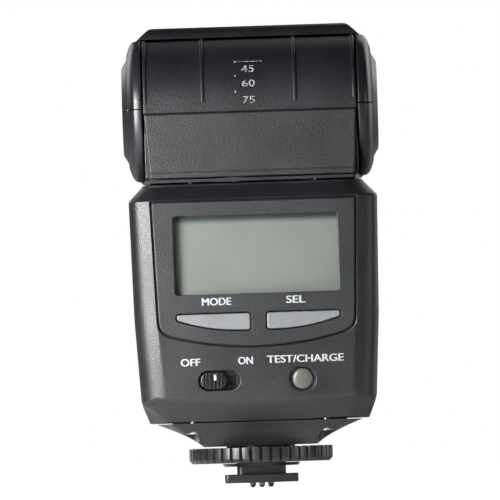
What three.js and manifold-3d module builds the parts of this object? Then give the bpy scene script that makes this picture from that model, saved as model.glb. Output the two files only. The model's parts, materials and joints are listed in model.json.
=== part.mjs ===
// A shoe-mount speedlight flash: a battery body with a liquid-crystal display, a yoke that swivels
// on top of it, a lamp head that tilts on the yoke, and a clamping hot-shoe foot underneath.
// Millimetres, +Z up. The display side faces -Y, the flash lens faces +Y, and the origin is the
// centre of the foot's underside, on the axis that the head swivels about.

import * as THREE from 'three';
import { mergeVertices } from 'three/addons/utils/BufferGeometryUtils.js';
import Module from 'manifold-3d';

const wasm = await Module();
wasm.setup();

// ---- Driving dimensions ------------------------------------------------------------------------

const GAP = 0.3; // clearance between neighbouring pieces
const WALL = 1.8; // thickness of the body shells
const HEAD_WALL = 1.6; // thickness of the head and yoke shells

// Hot-shoe foot, to the standard accessory-shoe size.
const SHOE_WIDTH = 18.6;
const SHOE_LENGTH = 18;
const SHOE_THICKNESS = 2.2;
const NECK_WIDTH = 12.4;
const NECK_CORNER = 1.5;
const POST_RADIUS = 8.7;
const POST_BOTTOM = 5.3;
const PIN_RADIUS = 0.8;
const PIN_TIP = -1.2;
const PIN_TRAVEL = 1;
const PIN_PLACES = [[0, 0], [-2.3, 4.6], [2.3, 4.6]];

// Clamping ring and the plate that it drives down onto the shoe.
const RING_RADIUS = 18.2;
const RING_BOTTOM = 5.1;
const RING_TOP = 9;
const RING_TEETH = 44;
const PLATE_RADIUS = 9.8;
const PLATE_BOTTOM = 4.2;
const PLATE_TOP = 5;

// Body sections from the lowest up: height, half width, rear face, front face, and the radii of
// the two rear and the two front corners.
const BODY_REAR = -22.5;
const BODY_FRONT = 20.5;
const BODY_SECTIONS = [
  [15.7, 27.7, -17.6, 16.2, 5, 4],
  [20.4, 29.6, BODY_REAR, BODY_FRONT, 5.5, 4],
  [42, 30.8, BODY_REAR, BODY_FRONT, 5.7, 4],
  [71.6, 31.3, BODY_REAR, BODY_FRONT, 6, 4],
  [75.7, 28, -18.2, 16.4, 4, 3],
];
const COVER_SPLIT = -15.2; // plane between the rear cover and the front cover

// Flared skirt between the body and the foot, in the same terms.
const SKIRT_SECTIONS = [
  [9.4, 14.3, -13.4, 12.4, 1.6, 1.6],
  [10.6, 15.9, -14, 13, 2.2, 2.2],
  [12, 18.2, -14.8, 13.8, 3, 3],
  [13.8, 22, -15.9, 15, 4, 4],
  [15.4, 26, -17.3, 16, 5, 4],
];
const SCREW_PLACES = [[-16.8, -13.1], [16.8, -13.1], [-16.8, 12], [16.8, 12]];
const SCREW_HEAD_TOP = 14;
const SCREW_HEAD_HEIGHT = 1.3;
const SCREW_LENGTH = 5.6;

// Display panel: sides that lean in slightly and a lower edge on a wide arc.
const PANEL_TOP = 71;
const PANEL_TOP_HALF = 25.6;
const PANEL_LOW_HALF = 24.6;
const PANEL_LOW_CORNER = 39.3;
const PANEL_ARC_RADIUS = 80.7;
const PANEL_ARC_LOWEST = 34.5;
const PANEL_PROUD = 0.5;
const WINDOW = { left: -20.3, right: 21, low: 47.6, high: 67.5 };

// The two bar buttons mirror each other about this middle line.
const BUTTON_MIDDLE = 0.5;
const BUTTON_INNER = 2.1;
const BUTTON_OUTER = 20.5;
const BUTTON_TOP = 42.7;
const BUTTON_LOW = 38.6;
const BUTTON_ARC_RADIUS = 48;
const BUTTON_ARC_START = 4.5;

const SWITCH = { left: -15, right: -4.7, low: 23.5, high: 28.4 };
const KNOB_LENGTH = 6.6;
const KNOB_HEIGHT = 4.2;
const TEST_CENTRE = [11.1, 25.8];
const TEST_RADIUS = 2.65;

// Tilt axis of the head, and the round yoke that the head turns around.
const TILT_HEIGHT = 94.9;
const DRUM_RADIUS = 17.6;
const DRUM_HALF = 26.9;
const YOKE_BOTTOM = 77.6;
const PLATE_EDGE = 93.5; // upper edge of the yoke's flat rear plate
const TURNTABLE_RADIUS = 15.5;
const TRUNNION_RADIUS = 5.7;

// Head, measured from the tilt axis.
const HEAD_TOP = 21.1;
const HEAD_BOTTOM = -17;
const HEAD_HALF = 30;
const HEAD_FRONT = 60;
const SHELL_FRONT = 56.5;
const DISC_RADIUS = 18;
const DISC_INNER = 27.2;
const CAP_RADIUS = 13.2;
const CAP_OUTER = 32.3;

// Cells lie across the body, two by two.
const CELL_RADIUS = 7.1;
const CELL_LENGTH = 50;
const CELL_BORE = 7.3;
const CELL_CENTRES = [[-5.85, 29.45], [9.05, 29.45], [-5.85, 44.35], [9.05, 44.35]];
const TRAY = { rear: -13.7, front: 16.9, low: 21.5, high: 52.3 };
const DOOR = { rear: -13.2, front: 16.4, low: 22, high: 52 };

// ---- Solids ------------------------------------------------------------------------------------

// Shared corners become one vertex, flat triangles go, and the faces point outwards.
function solid(geometry) {
  const bare = new THREE.BufferGeometry();
  bare.setAttribute('position', geometry.getAttribute('position'));
  bare.setIndex(geometry.getIndex());
  const welded = mergeVertices(bare, 1e-4);
  const points = Float32Array.from(welded.getAttribute('position').array);
  const index = welded.getIndex().array;
  const corner = (i) => new THREE.Vector3().fromArray(points, 3 * i);
  const triangles = [];
  let volume = 0;
  for (let i = 0; i < index.length; i += 3) {
    const [a, b, c] = index.subarray(i, i + 3);
    if (a === b || b === c || c === a) continue;
    triangles.push([a, b, c]);
    volume += corner(a).dot(corner(b).cross(corner(c)));
  }
  const outward = volume < 0 ? triangles.map(([a, b, c]) => [a, c, b]) : triangles;
  const mesh = new wasm.Mesh({
    numProp: 3,
    vertProperties: points,
    triVerts: Uint32Array.from(outward.flat()),
  });
  return new wasm.Manifold(mesh);
}

function box(x, y, z) {
  const size = [x, y, z].map(([low, high]) => high - low);
  const middle = [x, y, z].map(([low, high]) => (low + high) / 2);
  return solid(new THREE.BoxGeometry(...size).translate(...middle));
}

// Turns a geometry made along +Y so that it lies along the named axis.
function turnTo(axis, geometry) {
  if (axis === 'x') geometry.rotateZ(-Math.PI / 2);
  if (axis === 'z') geometry.rotateX(Math.PI / 2);
  return geometry;
}

// A round rod along an axis, from low to high; place is its centre on the two other axes, in order.
function rod(axis, radius, low, high, place = [0, 0], segments = 32) {
  const geometry = new THREE.CylinderGeometry(radius, radius, high - low, segments);
  turnTo(axis, geometry);
  const centre = [...place];
  centre.splice('xyz'.indexOf(axis), 0, (low + high) / 2);
  return solid(geometry.translate(...centre));
}

// A turned piece: profile holds [radius, distance along the axis] from axis to axis.
function turned(axis, profile, segments = 36) {
  const points = profile.map(([radius, along]) => new THREE.Vector2(radius, along));
  return solid(turnTo(axis, new THREE.LatheGeometry(points, segments)));
}

const polygon = (points) => new THREE.Shape(points.map(([x, y]) => new THREE.Vector2(x, y)));

function prism(axis, shape, low, high, curveSegments = 12) {
  const options = { depth: high - low, bevelEnabled: false, curveSegments };
  const geometry = new THREE.ExtrudeGeometry(shape, options);
  if (axis === 'z') geometry.translate(0, 0, low);
  if (axis === 'y') geometry.rotateX(Math.PI / 2).translate(0, high, 0);
  if (axis === 'x') {
    const [x, y, z] = [[1, 0, 0], [0, 1, 0], [0, 0, 1]].map((v) => new THREE.Vector3(...v));
    geometry.applyMatrix4(new THREE.Matrix4().makeBasis(y, z, x)).translate(low, 0, 0);
  }
  return solid(geometry);
}

function roundedRectangle(left, right, low, high, radius, highRadius = radius) {
  const shape = new THREE.Shape();
  shape.absarc(right - highRadius, high - highRadius, highRadius, 0, Math.PI / 2);
  shape.absarc(left + highRadius, high - highRadius, highRadius, Math.PI / 2, Math.PI);
  shape.absarc(left + radius, low + radius, radius, Math.PI, 1.5 * Math.PI);
  shape.absarc(right - radius, low + radius, radius, 1.5 * Math.PI, 2 * Math.PI);
  return shape;
}

// A closed skin through level rings of equally many points, the lowest first.
function loft(rings) {
  const count = rings[0].length;
  const top = (rings.length - 1) * count;
  const index = [];
  for (let level = 0; level < top; level += count) {
    for (let i = 0; i < count; i++) {
      const next = (i + 1) % count;
      index.push(level + i, level + next, level + count + next);
      index.push(level + i, level + count + next, level + count + i);
    }
  }
  for (let i = 1; i + 1 < count; i++) {
    index.push(0, i + 1, i, top, top + i, top + i + 1);
  }
  const geometry = new THREE.BufferGeometry();
  geometry.setAttribute('position', new THREE.Float32BufferAttribute(rings.flat(2), 3));
  geometry.setIndex(index);
  return solid(geometry);
}

// A rounded rectangle at one height, drawn in by inset on every side.
function ring([height, half, rear, front, rearRadius, frontRadius], inset) {
  const radii = [rearRadius, frontRadius].map((radius) => Math.max(radius - inset, 0.6));
  const outline = roundedRectangle(
    -half + inset, half - inset, rear + inset, front - inset, ...radii);
  return outline.getPoints(5).slice(0, -1).map(({ x, y }) => [x, y, height]);
}

// The skin through a list of sections; an inset skin also starts higher and ends lower.
function skin(sections, inset = 0, raise = inset, lower = inset) {
  const last = sections.length - 1;
  const rings = sections.map(([height, ...rest], i) => {
    const shift = i === 0 ? raise : i === last ? -lower : 0;
    return ring([height + shift, ...rest], inset);
  });
  return loft(rings);
}

const join = (pieces) => pieces.reduce((whole, piece) => whole.add(piece));
const cut = (stock, ...tools) => tools.reduce((left, tool) => left.subtract(tool), stock);

// ---- Scene graph -------------------------------------------------------------------------------

const flash = new THREE.Group();
const yoke = new THREE.Group();
const head = new THREE.Group();
head.position.z = TILT_HEIGHT;
yoke.add(head);
flash.add(yoke);

const FINISHES = {
  black_shell: { color: 0x1e1f22, roughness: 0.5 },
  black_panel: { color: 0x232428, roughness: 0.55 },
  black_ring: { color: 0x1b1c1e, roughness: 0.6 },
  grey_button: { color: 0x9a9da0, roughness: 0.4 },
  milky_button: { color: 0xa9a594, roughness: 0.3 },
  display_grey: { color: 0xa6aca4, roughness: 0.3 },
  clear_plastic: { color: 0xe6ecee, roughness: 0.1 },
  red_plastic: { color: 0x5a0d10, roughness: 0.15 },
  circuit_green: { color: 0x1f4a34, roughness: 0.6 },
  switch_black: { color: 0x16171a, roughness: 0.5 },
  cell_sleeve: { color: 0x5c6066, roughness: 0.35 },
  contact_gold: { color: 0xc8a24e, roughness: 0.3, metalness: 1 },
  bare_steel: { color: 0xb9bcc0, roughness: 0.35, metalness: 1 },
  bright_aluminium: { color: 0xd8dadd, roughness: 0.2, metalness: 1 },
  tube_glass: { color: 0xeef2f4, roughness: 0.05 },
};

// Adds a named mesh; a piece made about its own origin is put in its place.
function add(name, shape, finish, group = flash, place = [0, 0, 0]) {
  const { vertProperties, triVerts } = shape.getMesh();
  const geometry = new THREE.BufferGeometry();
  geometry.setAttribute('position', new THREE.BufferAttribute(vertProperties, 3));
  geometry.setIndex(new THREE.BufferAttribute(triVerts, 1));
  const facets = geometry.toNonIndexed();
  facets.computeVertexNormals();
  const mesh = new THREE.Mesh(facets, new THREE.MeshStandardMaterial(FINISHES[finish]));
  mesh.name = name;
  mesh.position.set(...place);
  group.add(mesh);
}

// ---- Foot, clamping ring and contact pins ------------------------------------------------------

function footShape() {
  const half = SHOE_WIDTH / 2;
  const plate = prism('z', roundedRectangle(-half, half, -SHOE_LENGTH / 2, SHOE_LENGTH / 2, 1),
    0, SHOE_THICKNESS, 4);
  const side = NECK_WIDTH / 2;
  const neck = prism('z', roundedRectangle(-side, side, -side, side, NECK_CORNER),
    SHOE_THICKNESS - 0.1, POST_BOTTOM + 0.1, 3);
  const post = rod('z', POST_RADIUS, POST_BOTTOM, 11.4);
  const flange = prism('z', roundedRectangle(-12, 12, -10.5, 10.5, 2), 11.3, 13.1, 4);
  const bores = PIN_PLACES.map((place) => rod('z', PIN_RADIUS + GAP, -1, 9, place, 20));
  return cut(join([plate, neck, post, flange]), ...bores);
}

function lockRingShape() {
  const steps = ['groove', 'tooth', 'tooth', 'groove'];
  const outline = [];
  for (let tooth = 0; tooth < RING_TEETH; tooth++) {
    steps.forEach((step, i) => {
      const angle = ((tooth + [0.02, 0.14, 0.8, 0.92][i]) / RING_TEETH) * 2 * Math.PI;
      const radius = step === 'tooth' ? RING_RADIUS : RING_RADIUS - 0.7;
      outline.push([radius * Math.cos(angle), radius * Math.sin(angle)]);
    });
  }
  const chamfered = turned('z', [
    [0, RING_BOTTOM], [RING_RADIUS - 0.7, RING_BOTTOM], [RING_RADIUS + 0.1, RING_BOTTOM + 0.8],
    [RING_RADIUS + 0.1, RING_TOP], [0, RING_TOP],
  ], RING_TEETH);
  const knurled = prism('z', polygon(outline), RING_BOTTOM, RING_TOP).intersect(chamfered);
  const bore = rod('z', POST_RADIUS + GAP, RING_BOTTOM - 1, RING_TOP + 1, [0, 0], 48);
  const recess = rod('z', 13.8, RING_BOTTOM - 1, PLATE_TOP + 0.4, [0, 0], 48);
  return cut(knurled, bore, recess);
}

function pressurePlateShape() {
  const disc = turned('z', [
    [0, PLATE_BOTTOM], [PLATE_RADIUS - 0.5, PLATE_BOTTOM], [PLATE_RADIUS, PLATE_TOP], [0, PLATE_TOP],
  ]);
  const side = NECK_WIDTH / 2 + GAP;
  const hole = roundedRectangle(-side, side, -side, side, NECK_CORNER);
  return cut(disc, prism('z', hole, 0, 10, 3));
}

function buildFoot() {
  add('foot', footShape(), 'black_ring');
  add('pressure_plate', pressurePlateShape(), 'black_ring');
  add('lock_ring', lockRingShape(), 'black_ring');
  const pin = turned('z', [
    [0, 0], [PIN_RADIUS * 0.6, 0.1], [PIN_RADIUS, 0.6], [PIN_RADIUS, 9 - PIN_TRAVEL - 0.4 - PIN_TIP],
    [0, 9 - PIN_TRAVEL - 0.4 - PIN_TIP],
  ], 20);
  PIN_PLACES.forEach(([x, y], i) => {
    add(`contact_pin_${i + 1}`, pin, 'bare_steel', flash, [x, y, PIN_TIP]);
  });
}

// ---- Body shells -------------------------------------------------------------------------------

function panelOutline(margin = 0) {
  const radius = PANEL_ARC_RADIUS + margin;
  const centre = PANEL_ARC_LOWEST + PANEL_ARC_RADIUS;
  const arcHalf = 22.4 + margin;
  const reach = Math.asin(arcHalf / radius);
  const shape = new THREE.Shape();
  shape.moveTo(-PANEL_TOP_HALF - margin, PANEL_TOP + margin);
  shape.lineTo(-PANEL_LOW_HALF - margin, PANEL_LOW_CORNER);
  shape.absarc(0, centre, radius, -Math.PI / 2 - reach, -Math.PI / 2 + reach);
  shape.lineTo(PANEL_LOW_HALF + margin, PANEL_LOW_CORNER);
  shape.lineTo(PANEL_TOP_HALF + margin, PANEL_TOP + margin);
  return shape;
}

// side is -1 for the left button and 1 for the right one.
function barOutline(side, margin = 0) {
  const place = (u) => BUTTON_MIDDLE + side * u;
  const inner = BUTTON_INNER - margin;
  const outer = BUTTON_OUTER + margin;
  const low = BUTTON_LOW - margin;
  const high = BUTTON_TOP + margin;
  const corner = 0.7 + margin;
  const points = [
    [inner, low + corner], [inner + corner * 0.3, low + corner * 0.3], [inner + corner, low],
  ];
  const steps = 8;
  for (let i = 0; i <= steps; i++) {
    const along = ((outer - BUTTON_ARC_START) * i) / steps;
    const rise = BUTTON_ARC_RADIUS - Math.sqrt(BUTTON_ARC_RADIUS ** 2 - along ** 2);
    points.push([BUTTON_ARC_START + along, low + rise]);
  }
  points.push([outer, high - corner], [outer - corner * 0.3, high - corner * 0.3]);
  points.push([outer - corner, high], [inner + corner, high]);
  points.push([inner + corner * 0.3, high - corner * 0.3], [inner, high - corner]);
  return polygon(points.map(([u, z]) => [place(u), z]));
}

const switchSlot = () => roundedRectangle(SWITCH.left, SWITCH.right, SWITCH.low, SWITCH.high, 2.4);

function bodyShell() {
  return cut(skin(BODY_SECTIONS), skin(BODY_SECTIONS, WALL, 1.6));
}

function rearCoverShape() {
  const rearHalf = box([-40, 40], [-40, COVER_SPLIT - GAP / 2], [0, 90]);
  const recess = prism('y', panelOutline(GAP), BODY_REAR - 1, BODY_REAR + 1);
  const opening = prism('y', roundedRectangle(-21.6, 22.2, 37.9, 69.1, 1), -30, -15, 3);
  const slot = prism('y', switchSlot(), -30, -15, 6);
  const testHole = rod('y', TEST_RADIUS + GAP, -30, -15, TEST_CENTRE);
  const testRing = rod('y', TEST_RADIUS + 0.7, -30, BODY_REAR + 0.4, TEST_CENTRE);
  return cut(bodyShell().intersect(rearHalf), recess, opening, slot, testHole, testRing);
}

const doorOutline = (margin) => roundedRectangle(
  DOOR.rear - margin, DOOR.front + margin, DOOR.low - margin, DOOR.high + margin, 1.5);

function frontCoverShape() {
  const frontHalf = box([-40, 40], [COVER_SPLIT + GAP / 2, 40], [0, 90]);
  const swivelHole = rod('z', 9, 60, 90);
  const doorway = prism('x', doorOutline(GAP), 20, 40, 3);
  const assistWindow = prism('y', roundedRectangle(-13.3, 13.3, 54.7, 67.3, 1.5), 10, 30, 3);
  const screwHoles = SCREW_PLACES.map((place) => rod('z', 1.3, 10, 20, place, 12));
  return cut(bodyShell().intersect(frontHalf), swivelHole, doorway, assistWindow, ...screwHoles);
}

function baseCoverShape() {
  const outer = skin(SKIRT_SECTIONS);
  const hollow = skin(SKIRT_SECTIONS, HEAD_WALL, 1.6, -1);
  const bosses = SCREW_PLACES.map((place) => rod('z', 3.6, 10.5, 15.4, place, 16));
  const pockets = SCREW_PLACES.map((place) => rod('z', 2.5, 5, SCREW_HEAD_TOP + GAP, place, 16));
  const shanks = SCREW_PLACES.map((place) => rod('z', 1.3, 10, 20, place, 12));
  const postHole = rod('z', POST_RADIUS + GAP, 5, 20);
  const walls = cut(outer, hollow).add(join(bosses).intersect(outer));
  return cut(walls, postHole, ...pockets, ...shanks);
}

function screwShape() {
  const head = SCREW_HEAD_HEIGHT;
  const end = head + SCREW_LENGTH;
  const shank = turned('z', [[0, 0], [2.1, 0], [2.1, head], [1, head], [1, end], [0, end]], 14);
  const slots = [
    box([-1.3, 1.3], [-0.25, 0.25], [-1, 0.6]),
    box([-0.25, 0.25], [-1.3, 1.3], [-1, 0.6]),
  ];
  return cut(shank, ...slots);
}

function buildShells() {
  add('rear_cover', rearCoverShape(), 'black_shell');
  add('front_cover', frontCoverShape(), 'black_shell');
  add('base_cover', baseCoverShape(), 'black_shell');
  SCREW_PLACES.forEach(([x, y], i) => {
    const place = [x, y, SCREW_HEAD_TOP - SCREW_HEAD_HEIGHT];
    add(`base_screw_${i + 1}`, screwShape(), 'bare_steel', flash, place);
  });
  const lens = prism('y', roundedRectangle(-13, 13, 55, 67, 1.4), BODY_FRONT - 2.2, BODY_FRONT - 0.2, 3);
  add('assist_window', lens, 'red_plastic');
}

// ---- Controls and display ----------------------------------------------------------------------

function displayPanelShape() {
  const sheet = prism('y', panelOutline(), BODY_REAR - PANEL_PROUD, BODY_REAR + 0.7);
  const { left, right, low, high } = WINDOW;
  const window = prism('y', roundedRectangle(left, right, low, high, 0.6), -30, -15, 3);
  const bars = [-1, 1].map((side) => prism('y', barOutline(side, GAP), -30, -15));
  return cut(sheet, window, ...bars);
}

// The slide knob's middle is at its own origin; a tongue reaches through the slot.
function knobShape() {
  const half = KNOB_LENGTH / 2;
  const cap = prism('y', roundedRectangle(-half, half, -KNOB_HEIGHT / 2, KNOB_HEIGHT / 2, 1.9),
    -0.9, 1.2, 6);
  const grooves = [];
  for (let x = -half + 1.1; x < half - 0.6; x += 1.1) {
    grooves.push(box([x - 0.25, x + 0.25], [-2, -0.4], [-3, 3]));
  }
  return cut(cap, ...grooves).add(box([-1.4, 1.4], [1.1, 3.4], [-1, 1]));
}

// A flange behind the wall keeps the test button from falling out.
function testButtonShape() {
  return turned('y', [
    [0, -0.5], [1.9, -0.45], [2.4, -0.2], [TEST_RADIUS, 0.2], [TEST_RADIUS, 2.2], [3.9, 2.2],
    [3.9, 2.8], [0, 2.8],
  ], 28);
}

const tactSwitch = () => join([
  box([-2.2, 2.2], [0.6, 3.2], [-2.2, 2.2]),
  rod('y', 1.1, 0, 0.7, [0, 0], 16),
]);

function buildControls() {
  add('display_panel', displayPanelShape(), 'black_panel');
  const { left, right, low, high } = WINDOW;
  add('display_window', box([left - 0.8, right + 0.8], [-21.5, -20.6], [low - 1, high + 1]), 'clear_plastic');
  add('lcd_module', box([left - 1.2, right + 1.2], [-20.3, -17.8], [low - 1.8, high + 1.4]), 'display_grey');
  ['mode_button', 'select_button'].forEach((name, i) => {
    const side = 2 * i - 1;
    const bar = prism('y', barOutline(side), BODY_REAR - PANEL_PROUD - 0.3, -20.8);
    add(name, bar, 'grey_button');
    const place = [BUTTON_MIDDLE + side * 10.5, -18.9, (BUTTON_LOW + BUTTON_TOP) / 2];
    add(name.replace('button', 'switch'), tactSwitch(), 'switch_black', flash, place);
  });
  add('test_button', testButtonShape(), 'milky_button', flash, [TEST_CENTRE[0], BODY_REAR, TEST_CENTRE[1]]);
  const testPlace = [TEST_CENTRE[0] + 1.6, -18.7, TEST_CENTRE[1]];
  add('test_switch', tactSwitch(), 'switch_black', flash, testPlace);
  const lamp = turned('y', [[0, 0], [0.8, 0.3], [1, 1], [1, 2.8], [0, 2.8]], 20);
  add('charge_lamp', lamp, 'milky_button', flash, [TEST_CENTRE[0] - 2.2, -18.6, TEST_CENTRE[1]]);
  const knobPlace = [SWITCH.left + 0.4 + KNOB_LENGTH / 2, BODY_REAR, (SWITCH.low + SWITCH.high) / 2];
  add('power_switch_knob', knobShape(), 'switch_black', flash, knobPlace);
  const frame = box([-15.5, -4.2], [-20.2, -15.8], [23.1, 28.8]);
  const track = box([-13.9, -5.6], [-21, -18.6], [24.7, 27.2]);
  add('power_switch_body', cut(frame, track), 'switch_black');
  add('control_board', box([-24, 24], [-15.4, -14], [20.8, 70]), 'circuit_green');
}

// ---- Power supply ------------------------------------------------------------------------------

function trayShape() {
  const room = skin(BODY_SECTIONS, WALL + GAP, 1.6 + GAP);
  const block = box([-26.6, 25.2], [TRAY.rear, TRAY.front], [TRAY.low, TRAY.high]).intersect(room);
  const bores = CELL_CENTRES.map((centre) => rod('x', CELL_BORE, -25.4, 30, centre));
  return cut(block, ...bores);
}

function cellShape() {
  const half = CELL_LENGTH / 2;
  return turned('x', [
    [0, -half], [CELL_RADIUS - 0.5, -half], [CELL_RADIUS, -half + 0.5], [CELL_RADIUS, half - 1.6],
    [CELL_RADIUS - 0.5, half - 1.2], [2.7, half - 1.2], [2.7, half], [0, half],
  ], 20);
}

// The doorway is in the right side wall, and the door fills it from edge to edge.
function doorShape() {
  const slab = prism('x', doorOutline(0), 20, 40, 3);
  const skinLayer = cut(skin(BODY_SECTIONS), skin(BODY_SECTIONS, WALL, 1.6));
  const contactPad = box([26.6, 28.6], [DOOR.rear + 2, DOOR.front - 2], [DOOR.low + 2, DOOR.high - 2]);
  const latchWell = box([29.6, 40], [-2.2, 4.8], [45.6, 50.4]);
  return cut(skinLayer.intersect(slab).add(contactPad), latchWell);
}

function latchShape() {
  const pad = box([29.9, 30.7], [-1.9, 2.4], [45.9, 50.1]);
  const ribs = [-1.2, -0.1, 1, 2].map((y) => box([30.4, 31], [y - 0.5, y], [46.4, 49.6]));
  return cut(pad, ...ribs);
}

function buildPowerSupply() {
  add('battery_tray', trayShape(), 'switch_black');
  CELL_CENTRES.forEach(([y, z], i) => {
    add(`battery_cell_${i + 1}`, cellShape(), 'cell_sleeve', flash, [-0.1, y, z]);
  });
  add('battery_door', doorShape(), 'black_shell');
  add('battery_door_latch', latchShape(), 'switch_black');
  const contact = box([25.8, 26.3], [DOOR.rear + 2, DOOR.front - 2], [DOOR.low + 2, DOOR.high - 2]);
  add('door_contact_plate', contact, 'contact_gold');
  add('main_capacitor', turned('x', [
    [0, -25], [8.3, -25], [9, -24.3], [9, 13.5], [8.2, 14], [0, 14],
  ], 32), 'cell_sleeve', flash, [0, 3, 62.3]);
  add('transformer', join([
    box([16, 26], [-3, 9], [57, 60]),
    box([16, 26], [-3, 9], [65, 68]),
    box([18.5, 23.5], [-0.5, 6.5], [59, 66]),
  ]), 'bare_steel');
  add('main_board', box([-23, 23], [-11.4, -10], [53.5, 71.5]), 'circuit_green');
  add('assist_lamp', turned('y', [[0, 2.9], [1.6, 2.5], [2, 1.4], [2, -2], [0, -2]], 20), 'red_plastic',
    flash, [0, 15, 61]);
}

// ---- Yoke --------------------------------------------------------------------------------------

function arcPoints(radius, from, to, steps) {
  return Array.from({ length: steps + 1 }, (_, i) => {
    const angle = THREE.MathUtils.degToRad(from + ((to - from) * i) / steps);
    return [radius * Math.cos(angle), TILT_HEIGHT + radius * Math.sin(angle)];
  });
}

// Yoke section across the tilt axis; inset draws it in for the hollow.
function drumOutline(inset) {
  const front = 13.5 - inset;
  const rear = -16.2 + inset;
  const ledge = PLATE_EDGE + GAP - TILT_HEIGHT + inset;
  const radius = DRUM_RADIUS - inset;
  const frontAngle = THREE.MathUtils.radToDeg(Math.acos(front / radius));
  const ledgeAngle = 180 - THREE.MathUtils.radToDeg(Math.asin(ledge / radius));
  return polygon([
    [front, YOKE_BOTTOM + inset],
    ...arcPoints(radius, -frontAngle, ledgeAngle, 24),
    [rear, TILT_HEIGHT + ledge],
    [rear, YOKE_BOTTOM + inset],
  ]);
}

function drumShape() {
  const shell = cut(
    prism('x', drumOutline(0), -DRUM_HALF, DRUM_HALF),
    prism('x', drumOutline(HEAD_WALL), -DRUM_HALF + 1.6, DRUM_HALF - 1.6),
  );
  const trunnions = rod('x', TRUNNION_RADIUS, -29.4, 29.4, [0, TILT_HEIGHT]);
  const wireWay = rod('x', 3.8, -40, 40, [0, TILT_HEIGHT]);
  const middle = box([-DRUM_HALF + 1.6, DRUM_HALF - 1.6], [-14, 12], [80, 110]);
  const skids = [-1, 1].map((side) => box(side < 0 ? [-26, -19] : [19, 26], [-15, 12], [76.2, 78]));
  const floorHole = rod('z', 6.4, 70, 85);
  return cut(shell.add(cut(trunnions, middle)).add(join(skids)), wireWay, floorHole);
}

function ribShape() {
  const outer = arcPoints(DRUM_RADIUS + 0.4, 8, 176, 20);
  const inner = arcPoints(DRUM_RADIUS - 0.4, 176, 8, 20);
  return prism('x', polygon([...outer, ...inner]), -0.4, 0.4);
}

const RIB_PLACES = [-26.4, -11.9, 11.4, 26.3];

function buildYoke() {
  const ribs = RIB_PLACES.map((x) => ribShape().translate([x, 0, 0]));
  add('yoke_drum', join([drumShape(), ...ribs]), 'black_shell', yoke);
  const face = prism('y', polygon([
    [-26.8, PLATE_EDGE], [-25.6, 77.2], [25.8, 77.2], [26.6, PLATE_EDGE],
  ]), -18.2, -16.5);
  add('yoke_rear_plate', face, 'black_panel', yoke);
  const spindle = turned('z', [
    [6, 71.8], [8.7, 71.8], [8.7, 76], [TURNTABLE_RADIUS, 76], [TURNTABLE_RADIUS, 77.3],
    [6, 77.3], [6, 71.8],
  ]);
  add('swivel_base', spindle, 'switch_black', yoke);
  const retainer = turned('z', [[9, 72.1], [13, 72.1], [13, 73.5], [9, 73.5], [9, 72.1]]);
  add('swivel_retainer', retainer, 'bare_steel', yoke);
}

// ---- Head --------------------------------------------------------------------------------------

function headSection() {
  return polygon([
    [-25, HEAD_TOP], [-27.5, 18.8], [-29.4, 17], [-HEAD_HALF, 15], [-HEAD_HALF, -13.5],
    [-28.5, HEAD_BOTTOM], [28.5, HEAD_BOTTOM], [HEAD_HALF, -13.5], [HEAD_HALF, 15],
    [29.4, 17], [27.5, 18.8], [25, HEAD_TOP],
  ]);
}

// Side disc on the right; it surrounds the yoke's end and carries the hub cap in a pocket.
function discShape() {
  const disc = turned('x', [
    [0, DISC_INNER], [DISC_RADIUS, DISC_INNER], [DISC_RADIUS, 28], [17.7, 29.3], [16.9, 30],
    [16, 30.4], [14.2, 31], [0, 31],
  ], 48);
  const pocket = rod('x', CAP_RADIUS + GAP, 29.7, 35, [0, 0], 40);
  const bore = rod('x', TRUNNION_RADIUS + GAP, 20, 40);
  return cut(disc, pocket, bore);
}

function headShell() {
  const outer = prism('y', headSection(), 0, SHELL_FRONT);
  const inside = DISC_INNER;
  const rearHollow = box([-25, 25], [6, 20], [-30, HEAD_TOP - HEAD_WALL]);
  const drumRoom = rod('x', DRUM_RADIUS + 0.7, -inside, inside, [0, 0], 60);
  const yokeRoom = box([-inside, inside], [-25, 19.6], [-30, 0]);
  const side = HEAD_HALF - HEAD_WALL;
  const floor = HEAD_BOTTOM + HEAD_WALL;
  const front = prism('y', polygon([
    [-24, HEAD_TOP - HEAD_WALL], [-side, 14], [-side, floor], [side, floor], [side, 14],
    [24, HEAD_TOP - HEAD_WALL],
  ]), 19.6, 70);
  const left = discShape().rotate([0, 0, 180]);
  const sideBore = rod('x', CAP_RADIUS + GAP, -40, 40, [0, 0], 48);
  const discs = join([discShape(), left]);
  return cut(outer, rearHollow, drumRoom, yokeRoom, front, sideBore).add(discs);
}

function lensFrameShape() {
  const frame = prism('y', headSection(), SHELL_FRONT + GAP, HEAD_FRONT);
  const opening = prism('y', roundedRectangle(-26.5, 26.5, -13, 17, 2), 50, 70, 3);
  return cut(frame, opening);
}

// A flat pane with upright prism ridges on its front.
function fresnelShape() {
  const half = 26.2;
  const ridges = 18;
  const pitch = (2 * half) / ridges;
  const outline = [[-half, 56.6], [-half, 59]];
  for (let i = 0; i < ridges; i++) {
    outline.push([-half + (i + 0.5) * pitch, 59.4], [-half + (i + 1) * pitch, 59]);
  }
  outline.push([half, 56.6]);
  const rounded = prism('y', roundedRectangle(-half, half, -12.7, 16.7, 1.9), 50, 70, 3);
  return prism('z', polygon(outline), -13, 17).intersect(rounded);
}

// Bowl with an open front: outer and inner wedges share the rear centre line.
function reflectorShape() {
  const wedge = (rear, front, depth, half) => loft([
    ring([0, half, -rear, rear, 0.6, 0.6], 0),
    ring([depth, half, -front, front, 0.6, 0.6], 0),
  ]);
  const bowl = cut(wedge(5, 12.4, 16, 23.5), wedge(4, 11.4, 16.2, 22.5).translate([0, 0, 1]));
  return bowl.rotate([-90, 0, 0]).translate([0, 22, 2]);
}

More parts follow.
